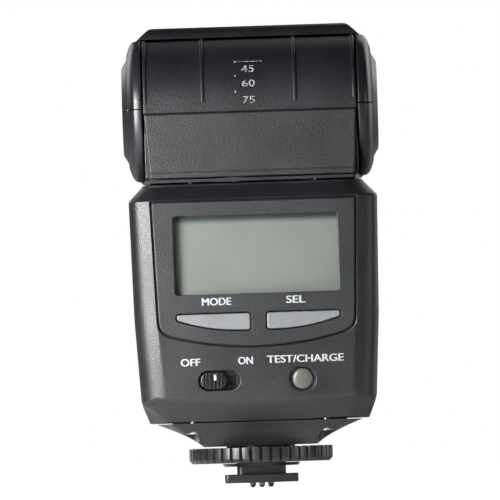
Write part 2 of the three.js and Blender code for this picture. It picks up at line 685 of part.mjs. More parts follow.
function buildHead() {
  const shell = headShell();
  const upper = box([-40, 40], [-40, 80], [GAP / 2, 40]);
  const lower = box([-40, 40], [-40, 80], [-40, -GAP / 2]);
  add('head_upper_shell', shell.intersect(upper), 'black_shell', head);
  add('head_lower_shell', shell.intersect(lower), 'black_shell', head);
  const cap = turned('x', [
    [0, 30], [CAP_RADIUS, 30], [CAP_RADIUS, 31], [11, CAP_OUTER], [0, CAP_OUTER],
  ], 40);
  add('hub_cap_right', cap, 'black_shell', head);
  add('hub_cap_left', cap.rotate([0, 0, 180]), 'black_shell', head);
  add('lens_frame', lensFrameShape(), 'black_shell', head);
  add('fresnel_lens', fresnelShape(), 'clear_plastic', head);

  const screwPlace = [-19, -13];
  const carriage = box([-25, 25], [19.9, 21.7], [-10, 15]);
  const nut = box([-22.4, -15.6], [19.9, 23.5], [-15, -9.5]);
  const nutBore = rod('y', 1.6, 10, 30, screwPlace, 16);
  const cablePort = rod('y', 3, 10, 30, [0, 4], 16);
  add('zoom_carriage', cut(carriage.add(nut), nutBore, cablePort), 'switch_black', head);
  add('reflector', reflectorShape(), 'bright_aluminium', head);
  add('flash_tube', rod('x', 1.6, -21.5, 21.5, [27, 2], 20), 'tube_glass', head);
  const thread = [[0, 19.9]];
  for (let y = 20; y < 48; y += 2) thread.push([1.2, y], [0.9, y + 1]);
  thread.push([1.2, 48], [0, 48]);
  const leadScrew = turned('y', thread, 10).translate([screwPlace[0], 0, screwPlace[1]]);
  add('zoom_lead_screw', leadScrew, 'bare_steel', head);
  const motor = rod('y', 2.3, 48.4, 55.6, screwPlace, 24);
  add('zoom_motor', motor, 'bare_steel', head);
}

buildFoot();
buildShells();
buildControls();
buildPowerSupply();
buildYoke();
buildHead();

export default flash;
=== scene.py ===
"""Speedlight flash: the looks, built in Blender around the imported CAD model.

Shapes are worked out in millimetres, +Z up, display side towards -Y, and put into metres when a
piece is placed. Each fine piece replaces the CAD node that it is named after.
"""

import json
import math

import bmesh
import bpy
from mathutils import Matrix, Quaternion, Vector

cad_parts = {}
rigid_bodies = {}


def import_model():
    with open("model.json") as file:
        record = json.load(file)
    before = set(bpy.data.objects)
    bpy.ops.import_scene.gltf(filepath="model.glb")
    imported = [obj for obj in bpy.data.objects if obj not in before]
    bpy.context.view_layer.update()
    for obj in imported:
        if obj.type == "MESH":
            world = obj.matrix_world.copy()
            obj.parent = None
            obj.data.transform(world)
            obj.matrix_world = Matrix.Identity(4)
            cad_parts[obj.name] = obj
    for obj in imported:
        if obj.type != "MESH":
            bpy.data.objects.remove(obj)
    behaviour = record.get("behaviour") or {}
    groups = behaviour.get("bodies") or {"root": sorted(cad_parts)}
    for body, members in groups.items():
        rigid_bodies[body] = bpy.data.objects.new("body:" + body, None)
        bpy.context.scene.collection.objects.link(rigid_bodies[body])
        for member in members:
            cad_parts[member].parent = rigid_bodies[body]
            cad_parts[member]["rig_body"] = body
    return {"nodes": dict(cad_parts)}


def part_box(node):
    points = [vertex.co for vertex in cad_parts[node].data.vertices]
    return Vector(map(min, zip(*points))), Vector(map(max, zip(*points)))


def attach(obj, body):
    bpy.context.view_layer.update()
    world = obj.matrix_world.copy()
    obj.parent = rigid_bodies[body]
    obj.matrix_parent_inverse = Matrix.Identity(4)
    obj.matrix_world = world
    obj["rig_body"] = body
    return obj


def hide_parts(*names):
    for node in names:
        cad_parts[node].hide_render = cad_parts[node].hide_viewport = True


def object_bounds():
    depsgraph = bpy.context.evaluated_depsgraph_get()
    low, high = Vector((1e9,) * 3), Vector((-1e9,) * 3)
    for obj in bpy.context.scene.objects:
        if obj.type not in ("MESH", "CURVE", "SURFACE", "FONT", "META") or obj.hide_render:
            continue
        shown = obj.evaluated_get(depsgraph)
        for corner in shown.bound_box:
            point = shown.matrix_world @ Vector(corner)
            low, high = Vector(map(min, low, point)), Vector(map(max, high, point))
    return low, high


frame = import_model()
cad_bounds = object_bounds()
nodes = frame["nodes"]


def corners(node):
    """Lowest and highest corner of a CAD node, in millimetres."""
    low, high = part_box(node)
    return low * 1000, high * 1000


# ---- Driving dimensions ----

GAP = 0.3
WALL = 1.8
LID_WALL = 1.6
HEAD_WALL = 1.6
FAR = 40  # past the body's sides, rear and front, for cutters

# Body sections: height, half width, rear face, front face, front corner radius, the start and
# width of the slanted facet beside the rear face, and half the width where the rear corner ends.
# Low down the sides spread from there to the full width, as far as SPREAD_END.
BODY_REAR = -22.5
BODY_FRONT = 20.5
BODY_SECTIONS = [
    (15.7, 27.7, -17.6, 16.2, 4, 22.0, 0.6, 23.4),
    (20.4, 29.6, BODY_REAR, BODY_FRONT, 4, 24.2, 1.0, 29.6),
    (42, 30.8, BODY_REAR, BODY_FRONT, 4, 25.1, 2.0, 30.8),
    (71.6, 31.3, BODY_REAR, BODY_FRONT, 4, 26.0, 2.4, 31.3),
    (75.7, 28, -18.2, 16.4, 3, 23.0, 1.8, 28),
]
BODY_EDGES = (1.1, 1, 0.35)  # how far each edge between two slopes is blended
SPREAD_END = -7
FACET_ANGLE = math.radians(18)
COVER_SPLIT = -15.2

SKIRT_SECTIONS = [
    (9.4, 14.3, -13.4, 12.4, 1.6, 12.6, 0.5, 14.0),
    (10.6, 15.9, -14, 13, 2.2, 14.2, 0.5, 15.6),
    (12, 18.2, -14.8, 13.8, 3, 16.4, 0.5, 17.8),
    (13.8, 22, -15.9, 15, 4, 19.2, 0.5, 20.6),
    (15.4, 26, -17.3, 16, 4, 21.6, 0.6, 23.0),
]
SKIRT_EDGES = (0.5, 0.6, 0.6)
SEAM_STEP = (22, -13.4, 12.4, 14.6, 15.95)
SCREW_PLACES = [(-16.8, -13.1), (16.8, -13.1), (-16.8, 12), (16.8, 12)]
SCREW_BORE_RADIUS = 1.3
SCREW_POCKET_RADIUS = 2.5
BOSS_RADIUS = 3.6

PANEL_TOP = 71
PANEL_TOP_HALF = 25.6
PANEL_LOW_HALF = 24.6
PANEL_LOW_CORNER = 39.3
PANEL_ARC_RADIUS = 80.7
PANEL_ARC_LOWEST = 34.5
PANEL_FACE = -23.0
# Openings: left, right, low, high.
WINDOW = (-20.3, 21, 47.6, 67.5)
DISPLAY_OPENING = (-21.6, 22.2, 37.9, 69.1)
ASSIST_OPENING = (-13.3, 13.3, 54.7, 67.3)

BUTTON_MIDDLE = 0.5
BUTTON_INNER = 2.1
BUTTON_OUTER = 20.5
BUTTON_TOP = 42.7
BUTTON_LOW = 38.6
BUTTON_ARC_RADIUS = 48
BUTTON_ARC_START = 4.5

SLOT = (-15, -4.7, 23.5, 28.4)
SLOT_CORNER = 2.4
TEST_CENTRE = (11.1, 25.8)
TEST_RADIUS = 2.65

# The foot from above: left, right, rear, front.
FOOT_PLATE = (-9.3, 9.3, -9, 9)
FOOT_NECK = (-6.2, 6.2, -6.2, 6.2)
FOOT_FLANGE = (-12, 12, -10.5, 10.5)
RING_RADIUS = 18.2
RING_TEETH = 44
RING_GROOVE = 0.75
POST_RADIUS = 8.7

TILT_HEIGHT = 94.9
TILT_AXIS = (0, TILT_HEIGHT)  # y and z
DRUM_RADIUS = 17.6
DRUM_HALF = 26.9
YOKE_BOTTOM = 77.6
PLATE_EDGE = 93.5
TRUNNION_RADIUS = 5.7
RIB_PLACES = (-26.4, -11.9, 11.4, 26.3)

# The head's section starts from the tilt axis; this is its right half, and the left mirrors it.
HEAD_TOP = 21.1
HEAD_LOW = -17
HEAD_HALF = 30
HEAD_RIGHT = [(28.5, HEAD_LOW), (HEAD_HALF, -13.5), (HEAD_HALF, 15), (29.4, 17), (27.5, 18.8),
              (25, HEAD_TOP)]
YOKE_ROOM_FRONT = 19.6
SHELL_FRONT = 56.5
HEAD_FRONT = 60
DISC_INNER = 27.2
CAP_RADIUS = 13.2
CAP_OUTER = 32.3

DOOR = (-13.2, 16.4, 22, 52)


# ---- Outlines: lists of points in the plane ----


def arc(centre, radius, start, end, steps):
    """Points on an arc, angles in degrees."""
    angles = [math.radians(start + (end - start) * i / steps) for i in range(steps + 1)]
    return [(centre[0] + radius * math.cos(a), centre[1] + radius * math.sin(a)) for a in angles]


def rounded_rectangle(left, right, low, high, radius, steps=8):
    return [
        *arc((right - radius, high - radius), radius, 0, 90, steps),
        *arc((left + radius, high - radius), radius, 90, 180, steps),
        *arc((left + radius, low + radius), radius, 180, 270, steps),
        *arc((right - radius, low + radius), radius, 270, 360, steps),
    ]


def circle(centre, radius, steps=64):
    return arc(centre, radius, 0, 360, steps)[:-1]


def curve(first, control, last, steps):
    """Points on a quadratic curve."""
    first, control, last = Vector(first), Vector(control), Vector(last)
    shares = [i / steps for i in range(steps + 1)]
    return [tuple(first * (1 - t) ** 2 + control * (2 * t * (1 - t)) + last * t * t) for t in shares]


def softened(points, reach, steps=4, closed=True):
    """The same outline with each corner turned into a small curve that starts reach away from it."""
    result = []
    count = len(points)
    for i, point in enumerate(points):
        if not closed and i in (0, count - 1):
            result.append(tuple(point))
            continue
        here = Vector(point)
        before = Vector(points[i - 1]) - here
        after = Vector(points[(i + 1) % count]) - here
        first = here + before.normalized() * min(reach, before.length * 0.45)
        last = here + after.normalized() * min(reach, after.length * 0.45)
        result.extend(curve(first, here, last, steps))
    return result


def offset(points, margin):
    """The same outline grown by margin on every side."""
    if not margin:
        return list(points)
    count = len(points)
    area = sum(
        points[i - 1][0] * points[i][1] - points[i][0] * points[i - 1][1] for i in range(count)
    )
    side = margin if area > 0 else -margin
    result = []
    for i, point in enumerate(points):
        here = Vector(point)
        come = (here - Vector(points[i - 1])).normalized()
        leave = (Vector(points[(i + 1) % count]) - here).normalized()
        first = Vector((come.y, -come.x))
        second = Vector((leave.y, -leave.x))
        result.append(tuple(here + side * (first + second) / (1 + first.dot(second))))
    return result


# ---- Solids ----


def new_object(name, data):
    """An object with this data, put in the scene."""
    made = bpy.data.objects.new(name, data)
    bpy.context.scene.collection.objects.link(made)
    return made


def new_solid(points, faces):
    mesh = bpy.data.meshes.new("solid")
    mesh.from_pydata(points, [], faces)
    work = bmesh.new()
    work.from_mesh(mesh)
    bmesh.ops.remove_doubles(work, verts=work.verts, dist=1e-4)
    bmesh.ops.recalc_face_normals(work, faces=work.faces)
    work.to_mesh(mesh)
    work.free()
    return new_object("solid", mesh)


def loft(rings):
    """A closed skin through rings of equally many points."""
    count = len(rings[0])
    faces = [tuple(range(count))]
    for start in range(0, count * (len(rings) - 1), count):
        for i in range(count):
            j = (i + 1) % count
            faces.append((start + i, start + j, start + count + j, start + count + i))
    top = count * (len(rings) - 1)
    faces.append(tuple(range(top, top + count)))
    return new_solid([point for ring in rings for point in ring], faces)


PLACE = {
    "x": lambda a, b, along: (along, a, b),
    "y": lambda a, b, along: (a, along, b),
    "z": lambda a, b, along: (a, b, along),
}


def prism(axis, outline, low, high):
    return shaped_prism(axis, outline, [(low, 0), (high, 0)])


def shaped_prism(axis, outline, stations):
    """An outline carried along an axis; a station is a place on the axis and a growth there."""
    place = PLACE[axis]
    rings = [[place(a, b, along) for a, b in offset(outline, grow)] for along, grow in stations]
    return loft(rings)


def soft_stations(low, high, low_radius=0.0, high_radius=0.0, steps=4):
    """Stations that round off either end of a prism."""
    stations = []
    for end, radius, sign in ((low, low_radius, 1), (high, high_radius, -1)):
        rim = []
        for i in range(steps + 1 if radius else 1):
            turn = math.pi / 2 * i / steps
            rim.append((end + sign * radius * (1 - math.cos(turn)), radius * (math.sin(turn) - 1)))
        stations.extend(rim if sign > 0 else reversed(rim))
    return stations


def opening(outline, face, bottom, rim, axis="y", steps=4):
    """A cutter that leaves a hole with a rounded rim in a face; bottom is behind the face."""
    inward = 1 if bottom > face else -1
    stations = [(face - inward, rim)]
    for i in range(steps + 1):
        turn = math.pi / 2 * (1 - i / steps)
        depth = rim * (1 - math.sin(turn)) + 0.015
        stations.append((face + inward * depth, rim * (1 - math.cos(turn))))
    stations.append((bottom, 0))
    return shaped_prism(axis, outline, stations)


def box(x, y, z):
    return prism("z", [(x[0], y[0]), (x[1], y[0]), (x[1], y[1]), (x[0], y[1])], *z)


def rod(axis, radius, low, high, centre=(0, 0), steps=64):
    return prism(axis, circle(centre, radius, steps), low, high)


def turned(axis, profile, centre=(0, 0), steps=72):
    """A turned piece; the profile holds radius and distance along the axis."""
    place = PLACE[axis]
    rings = []
    for radius, along in profile:
        rings.append([place(a, b, along) for a, b in circle(centre, max(radius, 1e-6), steps)])
    return loft(rings)


def modify(solid, kind, **values):
    """Adds a modifier with these settings."""
    modifier = solid.modifiers.new(kind.lower(), kind)
    for key, value in values.items():
        setattr(modifier, key, value)


def freeze(solid):
    """Puts the modifiers' result into the mesh."""
    graph = bpy.context.evaluated_depsgraph_get()
    mesh = bpy.data.meshes.new_from_object(solid.evaluated_get(graph))
    solid.modifiers.clear()
    solid.data = mesh
    return solid


def combine(operation, stock, tools):
    for tool in tools:
        modify(stock, "BOOLEAN", operation=operation, solver="EXACT", object=tool)
    freeze(stock)
    for tool in tools:
        bpy.data.objects.remove(tool)
    return stock


def cut(stock, *tools):
    return combine("DIFFERENCE", stock, tools)


def join(stock, *tools):
    return combine("UNION", stock, tools)


def keep_within(stock, *tools):
    return combine("INTERSECT", stock, tools)


def mirrored(solid):
    """The same solid mirrored left to right."""
    solid.data.transform(Matrix.Scale(-1, 4, (1, 0, 0)))
    solid.data.flip_normals()
    return solid


def duplicate(solid):
    return new_object("solid", solid.data.copy())


def shade(mesh, sharp_angle):
    """Smooth faces, with a hard edge wherever two faces meet at more than sharp_angle."""
    work = bmesh.new()
    work.from_mesh(mesh)
    for face in work.faces:
        face.smooth = True
    for edge in work.edges:
        edge.smooth = len(edge.link_faces) == 2 and edge.calc_face_angle(0) < sharp_angle
    work.to_mesh(mesh)
    work.free()


def finished(solid, node, material, sharp=32, name=None, replace=True):
    """Puts a solid in metres, gives it its material and lets it ride on its node's body."""
    work = bmesh.new()
    work.from_mesh(solid.data)
    bmesh.ops.remove_doubles(work, verts=work.verts, dist=0.004)
    bmesh.ops.dissolve_degenerate(work, edges=work.edges, dist=0.002)
    work.to_mesh(solid.data)
    work.free()
    solid.data.transform(Matrix.Scale(0.001, 4))
    shade(solid.data, math.radians(sharp))
    modify(solid, "WEIGHTED_NORMAL", keep_sharp=True, weight=80)
    solid.name = name or node + "_finished"
    solid.data.name = solid.name
    solid.data.materials.clear()
    solid.data.materials.append(material)
    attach(solid, nodes[node]["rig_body"])
    if replace:
        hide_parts(node)
    return solid


# ---- Materials ----


class Nodes:
    """Short forms for building one material's node tree."""

    def __init__(self, name):
        self.material = bpy.data.materials.new(name)
        self.material.use_nodes = True
        self.tree = self.material.node_tree
        self.shader = self.tree.nodes["Principled BSDF"]
        place = self.node("ShaderNodeTexCoord").outputs["Object"]
        self.millimetres = self.scale(place, (1000, 1000, 1000))

    def fill(self, socket, value):
        """Sets a socket: a number or colour directly, an output by a link."""
        if isinstance(value, bpy.types.NodeSocket):
            self.tree.links.new(value, socket)
        elif socket.type == "RGBA":
            socket.default_value = (*value, 1)
        else:
            socket.default_value = value

    def node(self, kind, sockets=None, **values):
        """A node; values are its properties and sockets is what its inputs get."""
        node = self.tree.nodes.new(kind)
        for key, value in values.items():
            setattr(node, key, value)
        for key, value in (sockets or {}).items():
            self.fill(node.inputs[key], value)
        return node

    def scale(self, vector, factors):
        mapping = self.node("ShaderNodeMapping", {"Vector": vector, "Scale": factors})
        return mapping.outputs["Vector"]

    def along(self, axis):
        """How far along an axis, in millimetres."""
        return self.node("ShaderNodeSeparateXYZ", {"Vector": self.millimetres}).outputs[axis]

    def noise(self, size, detail=2.0, roughness=0.5, stretch=None):
        """Noise whose features are about size millimetres across."""
        vector = self.scale(self.millimetres, stretch) if stretch else self.millimetres
        sockets = {"Vector": vector, "Scale": 1 / size, "Detail": detail, "Roughness": roughness}
        return self.node("ShaderNodeTexNoise", sockets).outputs["Fac"]

    def grains(self, size):
        """Small cells, as an eroded mould leaves them."""
        sockets = {"Vector": self.millimetres, "Scale": 1 / size}
        return self.node("ShaderNodeTexVoronoi", sockets).outputs["Distance"]

    def remap(self, value, low, high, new_low, new_high):
        ends = {"From Min": low, "From Max": high, "To Min": new_low, "To Max": new_high}
        return self.node("ShaderNodeMapRange", {"Value": value, **ends}).outputs["Result"]

    def math(self, operation, first, second):
        return self.node("ShaderNodeMath", {0: first, 1: second}, operation=operation).outputs[0]

    def blend(self, factor, first, second):
        """A mix of two colours."""
        sockets = {0: factor, 6: first, 7: second}
        return self.node("ShaderNodeMix", sockets, data_type="RGBA").outputs[2]

    def bump(self, height, depth, before=None):
        """depth is in millimetres."""
        node = self.node("ShaderNodeBump", {"Distance": depth * 0.001, "Height": height})
        if before:
            self.fill(node.inputs["Normal"], before)
        return node.outputs["Normal"]

    def edges(self, radius):
        """1 on outer and inner edges within radius millimetres, 0 on flat ground."""
        rounded = self.node("ShaderNodeBevel", {"Radius": radius * 0.001}, samples=4)
        plain = self.node("ShaderNodeNewGeometry")
        normals = {0: rounded.outputs["Normal"], 1: plain.outputs["Normal"]}
        dot = self.node("ShaderNodeVectorMath", normals, operation="DOT_PRODUCT")
        return self.remap(dot.outputs["Value"], 1.0, 0.86, 0.0, 1.0)

    def set(self, **values):
        """Fills sockets of the main shader."""
        for key, value in values.items():
            self.fill(self.shader.inputs[key.replace("_", " ").title()], value)
        return self.material


def scaled(colour, factor):
    return tuple(channel * factor for channel in colour)


def moulded_plastic(name, colour, roughness, grain, depth, wear=0.5, cloud=0.16):
    """Plastic with the grain of its mould, faint clouds of wear, fine dust and rubbed edges."""
    n = Nodes(name)
    clouds = n.noise(14, detail=4, roughness=0.6)
    specks = n.noise(0.9, detail=3)
    rubbed = n.math("MULTIPLY", n.edges(0.35), n.remap(n.noise(2.2, detail=3), 0.42, 0.66, 0.0, wear))
    shade_of = n.blend(n.remap(clouds, 0.35, 0.65, 0.0, 1.0),
                       scaled(colour, 1 - cloud), scaled(colour, 1 + cloud))
    dusty = n.blend(n.remap(specks, 0.62, 0.8, 0.0, 0.35), shade_of, scaled(colour, 2.6))
    worn = n.blend(rubbed, dusty, scaled(colour, 4.5))
    gloss = n.math("ADD", n.remap(clouds, 0.3, 0.7, roughness - 0.04, roughness + 0.05),
                   n.remap(n.noise(0.5, detail=2), 0.3, 0.7, -0.03, 0.03))
    gloss = n.math("SUBTRACT", gloss, n.math("MULTIPLY", rubbed, 0.1))
    fine = n.bump(n.grains(grain), depth)
    relief = n.bump(n.noise(grain * 0.7, detail=2, roughness=0.6), depth * 0.8, before=fine)
    return n.set(base_color=worn, roughness=gloss, normal=relief)


def satin_plastic(name, colour, roughness, coat=0.0, subsurface=0.0):
    n = Nodes(name)
    clouds = n.noise(5, detail=3)
    smudge = n.noise(1.6, detail=4, stretch=(1, 1, 0.35))
    tone = n.blend(n.remap(clouds, 0.35, 0.65, 0, 1), scaled(colour, 0.92), scaled(colour, 1.06))
    gloss = n.remap(smudge, 0.3, 0.7, roughness - 0.05, roughness + 0.07)
    relief = n.bump(n.noise(0.18, detail=2), 0.004)
    n.set(coat_weight=coat, coat_roughness=0.15)
    if subsurface:
        n.set(subsurface_weight=subsurface, subsurface_scale=0.0012)
    return n.set(base_color=tone, roughness=gloss, normal=relief)


def display_film(name):
    """Liquid-crystal glass: a fine silvery grain over a faintly clouded grey-green tone."""
    n = Nodes(name)
    grain = n.noise(0.12, detail=2)
    clouds = n.noise(16, detail=2)
    colour = (0.205, 0.206, 0.184)
    tone = n.blend(n.remap(clouds, 0.35, 0.65, 0, 1), scaled(colour, 0.96), scaled(colour, 1.04))
    tone = n.blend(n.remap(grain, 0.3, 0.7, 0, 0.35), tone, scaled(colour, 0.9))
    # Painted shadow: the glass darkens to a near-black green along its top and left edges, standing
    # in for the shade of the window's rim.
    top = n.remap(n.along("Z"), 65.3, 66.6, 0, 1)
    side = n.remap(n.along("X"), -19.2, -19.9, 0, 0.8)
    tone = n.blend(n.math("MAXIMUM", top, side), tone, (0.05, 0.06, 0.05))
    return n.set(base_color=tone, roughness=n.remap(grain, 0.3, 0.7, 0.34, 0.48),
                 normal=n.bump(grain, 0.002))


def clear_plastic(name, tint=(0.93, 0.95, 0.95), roughness=0.03):
    """A thin clear moulding: it lets light straight through and mirrors a little of the room."""
    n = Nodes(name)
    tone = n.blend(n.remap(n.noise(9, detail=2), 0.3, 0.7, 0, 1), scaled(tint, 0.97), tint)
    film = n.node("ShaderNodeBsdfTransparent", {"Color": tone})
    wave = n.bump(n.noise(3.5, detail=1), 0.004)
    gloss = n.node("ShaderNodeBsdfGlossy", {"Roughness": roughness, "Normal": wave})
    facing = n.node("ShaderNodeLayerWeight").outputs["Facing"]
    mirror = n.remap(n.math("POWER", facing, 5), 0, 1, 0.04, 1)
    layers = {"Fac": mirror, 1: film.outputs["BSDF"], 2: gloss.outputs["BSDF"]}
    mix = n.node("ShaderNodeMixShader", layers)
    n.fill(n.tree.nodes["Material Output"].inputs["Surface"], mix.outputs["Shader"])
    n.tree.nodes.remove(n.shader)
    return n.material


def metal(name, colour, roughness, brushed=(1, 1, 1), depth=0.003):
    n = Nodes(name)
    lines = n.noise(0.5, detail=5, roughness=0.7, stretch=brushed)
    stain = n.noise(4, detail=4)
    tone = n.blend(n.remap(stain, 0.35, 0.7, 0, 1), colour, scaled(colour, 0.78))
    gloss = n.remap(lines, 0.3, 0.7, roughness - 0.06, roughness + 0.1)
    return n.set(base_color=tone, roughness=gloss, metallic=1.0, normal=n.bump(lines, depth))


def circuit_board(name):
    """Solder mask with darker copper tracks under it and small tinned pads."""
    n = Nodes(name)
    turn = n.node("ShaderNodeMapping", {"Vector": n.millimetres, "Rotation": (math.pi / 2, 0, 0)})
    tracks = n.node("ShaderNodeTexBrick", {
        "Vector": turn.outputs["Vector"], "Scale": 0.3, "Mortar Size": 0.02,
        "Color1": (0.012, 0.075, 0.036), "Color2": (0.018, 0.11, 0.05),
        "Mortar": (0.03, 0.16, 0.075),
    })
    spots = n.remap(n.grains(1 / 0.45), 0.14, 0.16, 1, 0)
    tone = n.blend(spots, tracks.outputs["Color"], (0.55, 0.54, 0.5))
    return n.set(base_color=tone, roughness=n.remap(n.noise(1.2), 0.3, 0.7, 0.22, 0.4),
                 metallic=n.math("MULTIPLY", spots, 0.8), normal=n.bump(spots, 0.03))


def cell_sleeve(name):
    """Printed foil: dark along the can, with a coppery band at the positive end."""
    n = Nodes(name)
    band = n.remap(n.along("X"), 12.9, 13.1, 0, 1)
    tone = n.blend(band, (0.02, 0.022, 0.026), (0.5, 0.25, 0.1))
    tone = n.blend(n.remap(n.noise(3, detail=4), 0.4, 0.75, 0, 0.4), tone, (0.1, 0.1, 0.1))
    return n.set(base_color=tone, metallic=0.7, normal=n.bump(n.noise(6, detail=1), 0.02),
                 roughness=n.remap(n.noise(1.5, detail=3), 0.3, 0.7, 0.24, 0.4))


def red_window(name):
    n = Nodes(name)
    tone = n.blend(n.remap(n.noise(6), 0.3, 0.7, 0, 1), (0.1, 0.004, 0.006), (0.16, 0.008, 0.01))
    lines = n.noise(0.8, stretch=(1, 1, 0.05))
    return n.set(base_color=tone, roughness=n.remap(n.noise(2), 0.3, 0.7, 0.06, 0.14),
                 coat_weight=0.6, coat_roughness=0.05, normal=n.bump(lines, 0.01))


def printed_ink(name, wear=0.0):
    n = Nodes(name)
    patch = n.noise(0.35, detail=3)
    tone = n.blend(n.remap(patch, 0.35, 0.7, 0, 1), (0.4, 0.41, 0.42), (0.3, 0.31, 0.32))
    tone = n.blend(n.remap(patch, 0.4, 0.6, 0, wear), tone, (0.015, 0.016, 0.018))
    return n.set(base_color=tone, roughness=n.remap(patch, 0.3, 0.7, 0.5, 0.65),
                 normal=n.bump(patch, 0.004))


black_shell = moulded_plastic("black_shell", (0.008, 0.0086, 0.01), 0.37, 0.3, 0.04)
black_panel = moulded_plastic("black_panel", (0.01, 0.0106, 0.012), 0.42, 0.3, 0.045)
black_drum = moulded_plastic("black_drum", (0.008, 0.0086, 0.0102), 0.38, 0.32, 0.04)
black_head = moulded_plastic("black_head", (0.008, 0.0086, 0.0102), 0.32, 0.34, 0.008)
black_ring = moulded_plastic("black_ring", (0.009, 0.009, 0.0095), 0.32, 0.4, 0.008, wear=0.8)
black_switch = moulded_plastic("black_switch", (0.008, 0.008, 0.009), 0.34, 0.25, 0.006)
silver_button = satin_plastic("silver_button", (0.14, 0.145, 0.15), 0.42, coat=0.15)
milky_button = satin_plastic("milky_button", (0.078, 0.076, 0.066), 0.36, coat=0.25, subsurface=0.3)
lcd_film = display_film("lcd_film")
clear_pane = clear_plastic("clear_pane")
clear_lens = clear_plastic("clear_lens", (0.86, 0.88, 0.88), 0.08)
red_lens = red_window("red_lens")
board_green = circuit_board("board_green")
foil = cell_sleeve("foil")
brass = metal("brass", (0.78, 0.57, 0.25), 0.28)
steel = metal("steel", (0.52, 0.53, 0.55), 0.34)
bright_metal = metal("bright_metal", (0.86, 0.87, 0.88), 0.14, brushed=(0.04, 1, 1))
ink = printed_ink("ink")
worn_ink = printed_ink("worn_ink", 0.85)

SLOTS = {
    "body_plastic": (black_shell, black_drum, black_head),
    "panel_plastic": (black_panel,),
    "ring_plastic": (black_ring,),
    "switch_plastic": (black_switch,),
    "button_plastic": (silver_button, ink, worn_ink),
    "milky_plastic": (milky_button,),
    "clear_plastic": (clear_lens,),
    "red_plastic": (red_lens,),
    "bright_aluminium": (bright_metal,),
}
SLOT_OF = {material: slot for slot, materials in SLOTS.items() for material in materials}


# ---- Body shells ----

REAR_STEPS = 24


def body_ring(section, wall=0.0):
    """One level of the body, seen from above, or the inside of a wall there; its halves mirror."""
    height, half, rear, front, radius, facet_start, facet_width, corner_half = section
    half, corner_half, facet_start = half - wall, corner_half - wall, facet_start - wall
    rear, front, radius = rear + wall, front - wall, max(radius - wall, 0.5)
    slant = math.tan(FACET_ANGLE)
    facet_end = (facet_start + facet_width, rear + facet_width * slant)
    reach = corner_half - facet_end[0]
    tip = (corner_half, facet_end[1] + reach * slant)
    side = (corner_half, tip[1] + reach / math.cos(FACET_ANGLE))
    spread = [(corner_half + (half - corner_half) * t, side[1] + (SPREAD_END - side[1]) * t)
              for t in (1, 0.75, 0.5, 0.25)]
    right = [
        *arc((half - radius, front - radius), radius, 90, 0, 8),
        *spread,
        *curve(side, tip, facet_end, 12),
        *[(facet_start * (1 - i / REAR_STEPS), rear) for i in range(REAR_STEPS)],
    ]
    left = [(-x, y) for x, y in reversed(right)]
    return [(x, y, height) for x, y in right + [(0, rear)] + left]


def blended_sections(sections, reaches, steps=5):
    """The sections with a curve in place of each edge between two slopes; each edge has a reach."""
    def between(first, second, share):
        return [a + (b - a) * share for a, b in zip(first, second)]

    result = [list(sections[0])]
    for before, here, after, reach in zip(sections, sections[1:], sections[2:], reaches):
        start = between(here, before, min(0.45, reach / (here[0] - before[0])))
        end = between(here, after, min(0.45, reach / (after[0] - here[0])))
        for i in range(steps + 1):
            t = i / steps
            result.append(between(between(start, here, t), between(here, end, t), t))
    result.append(list(sections[-1]))
    return result


def sagging(x, y, z):
    """The rear face's lower edge hangs lower in the middle than at its corners."""
    share = max(0.0, 1 - abs(z - 20.4) / 7.0) * min(1.0, max(0.0, (-y - 10) / 8))
    lift = 1.1 * (x / 26) ** 2 if abs(x) < 26 else max(0.0, 1.1 - (abs(x) - 26) * 0.45)
    return (x, y, z + share * lift)


def rounded_lid(rings, inset, drop, steps=3):
    """Rounds off the last level: the ring before it stays, and the rest draws in by inset."""
    last = rings[-1]
    flat = [(x, y) for x, y, _ in last]
    height = last[0][2]
    result = rings[:-1]
    for i in range(steps + 1):
        turn = math.pi / 2 * i / steps
        level = height - drop * (1 - math.sin(turn))
        result.append([(x, y, level) for x, y in offset(flat, -inset * (1 - math.cos(turn)))])
    return result


def inner_room(sections, wall, low_shift, high_shift):
    """The room inside a wall; its lowest and highest levels are shifted up or down."""
    levels = [list(section) for section in sections]
    levels[0][0] += low_shift
    levels[-1][0] += high_shift
    return loft([body_ring(level, wall) for level in levels])


def body_shell():
    rings = [body_ring(section) for section in blended_sections(BODY_SECTIONS, BODY_EDGES)]
    rings = [[sagging(*point) for point in ring] for ring in rings]
    outer = loft(rounded_lid(rings, 0.5, 0.5))
    return cut(outer, inner_room(BODY_SECTIONS, WALL, WALL, -LID_WALL))


def panel_outline():
    centre = PANEL_ARC_LOWEST + PANEL_ARC_RADIUS
    reach = math.degrees(math.asin(22.4 / PANEL_ARC_RADIUS))
    bottom = arc((0, centre), PANEL_ARC_RADIUS, -90 - reach, -90 + reach, 40)
    corners_left = softened([
        (-PANEL_TOP_HALF, PANEL_TOP), (-PANEL_LOW_HALF, PANEL_LOW_CORNER), bottom[0], bottom[1],
    ], 2.2, closed=False)[:-1]
    corners_right = [(-x, z) for x, z in reversed(corners_left)]
    return corners_left + bottom[1:-1] + corners_right


def bar_outline(side):
    """Outline of a bar button: straight top, and a lower edge that rises on an arc."""
    points = []
    low, high, steps = BUTTON_LOW, BUTTON_TOP, 16
    for i in range(steps + 1):
        along = (BUTTON_OUTER - BUTTON_ARC_START) * i / steps
        rise = BUTTON_ARC_RADIUS - math.sqrt(BUTTON_ARC_RADIUS ** 2 - along ** 2)
        points.append((BUTTON_ARC_START + along, low + rise))
    ends = softened([points[-1], (BUTTON_OUTER, high), (BUTTON_INNER, high), (BUTTON_INNER, low),
                     points[0]], 0.75, closed=False)
    outline = points[:-1] + softened([points[-2], *ends[:2]], 0.5, closed=False)[1:-1] + ends[1:-1]
    placed = [(BUTTON_MIDDLE + side * u, z) for u, z in outline]
    return placed if side > 0 else placed[::-1]


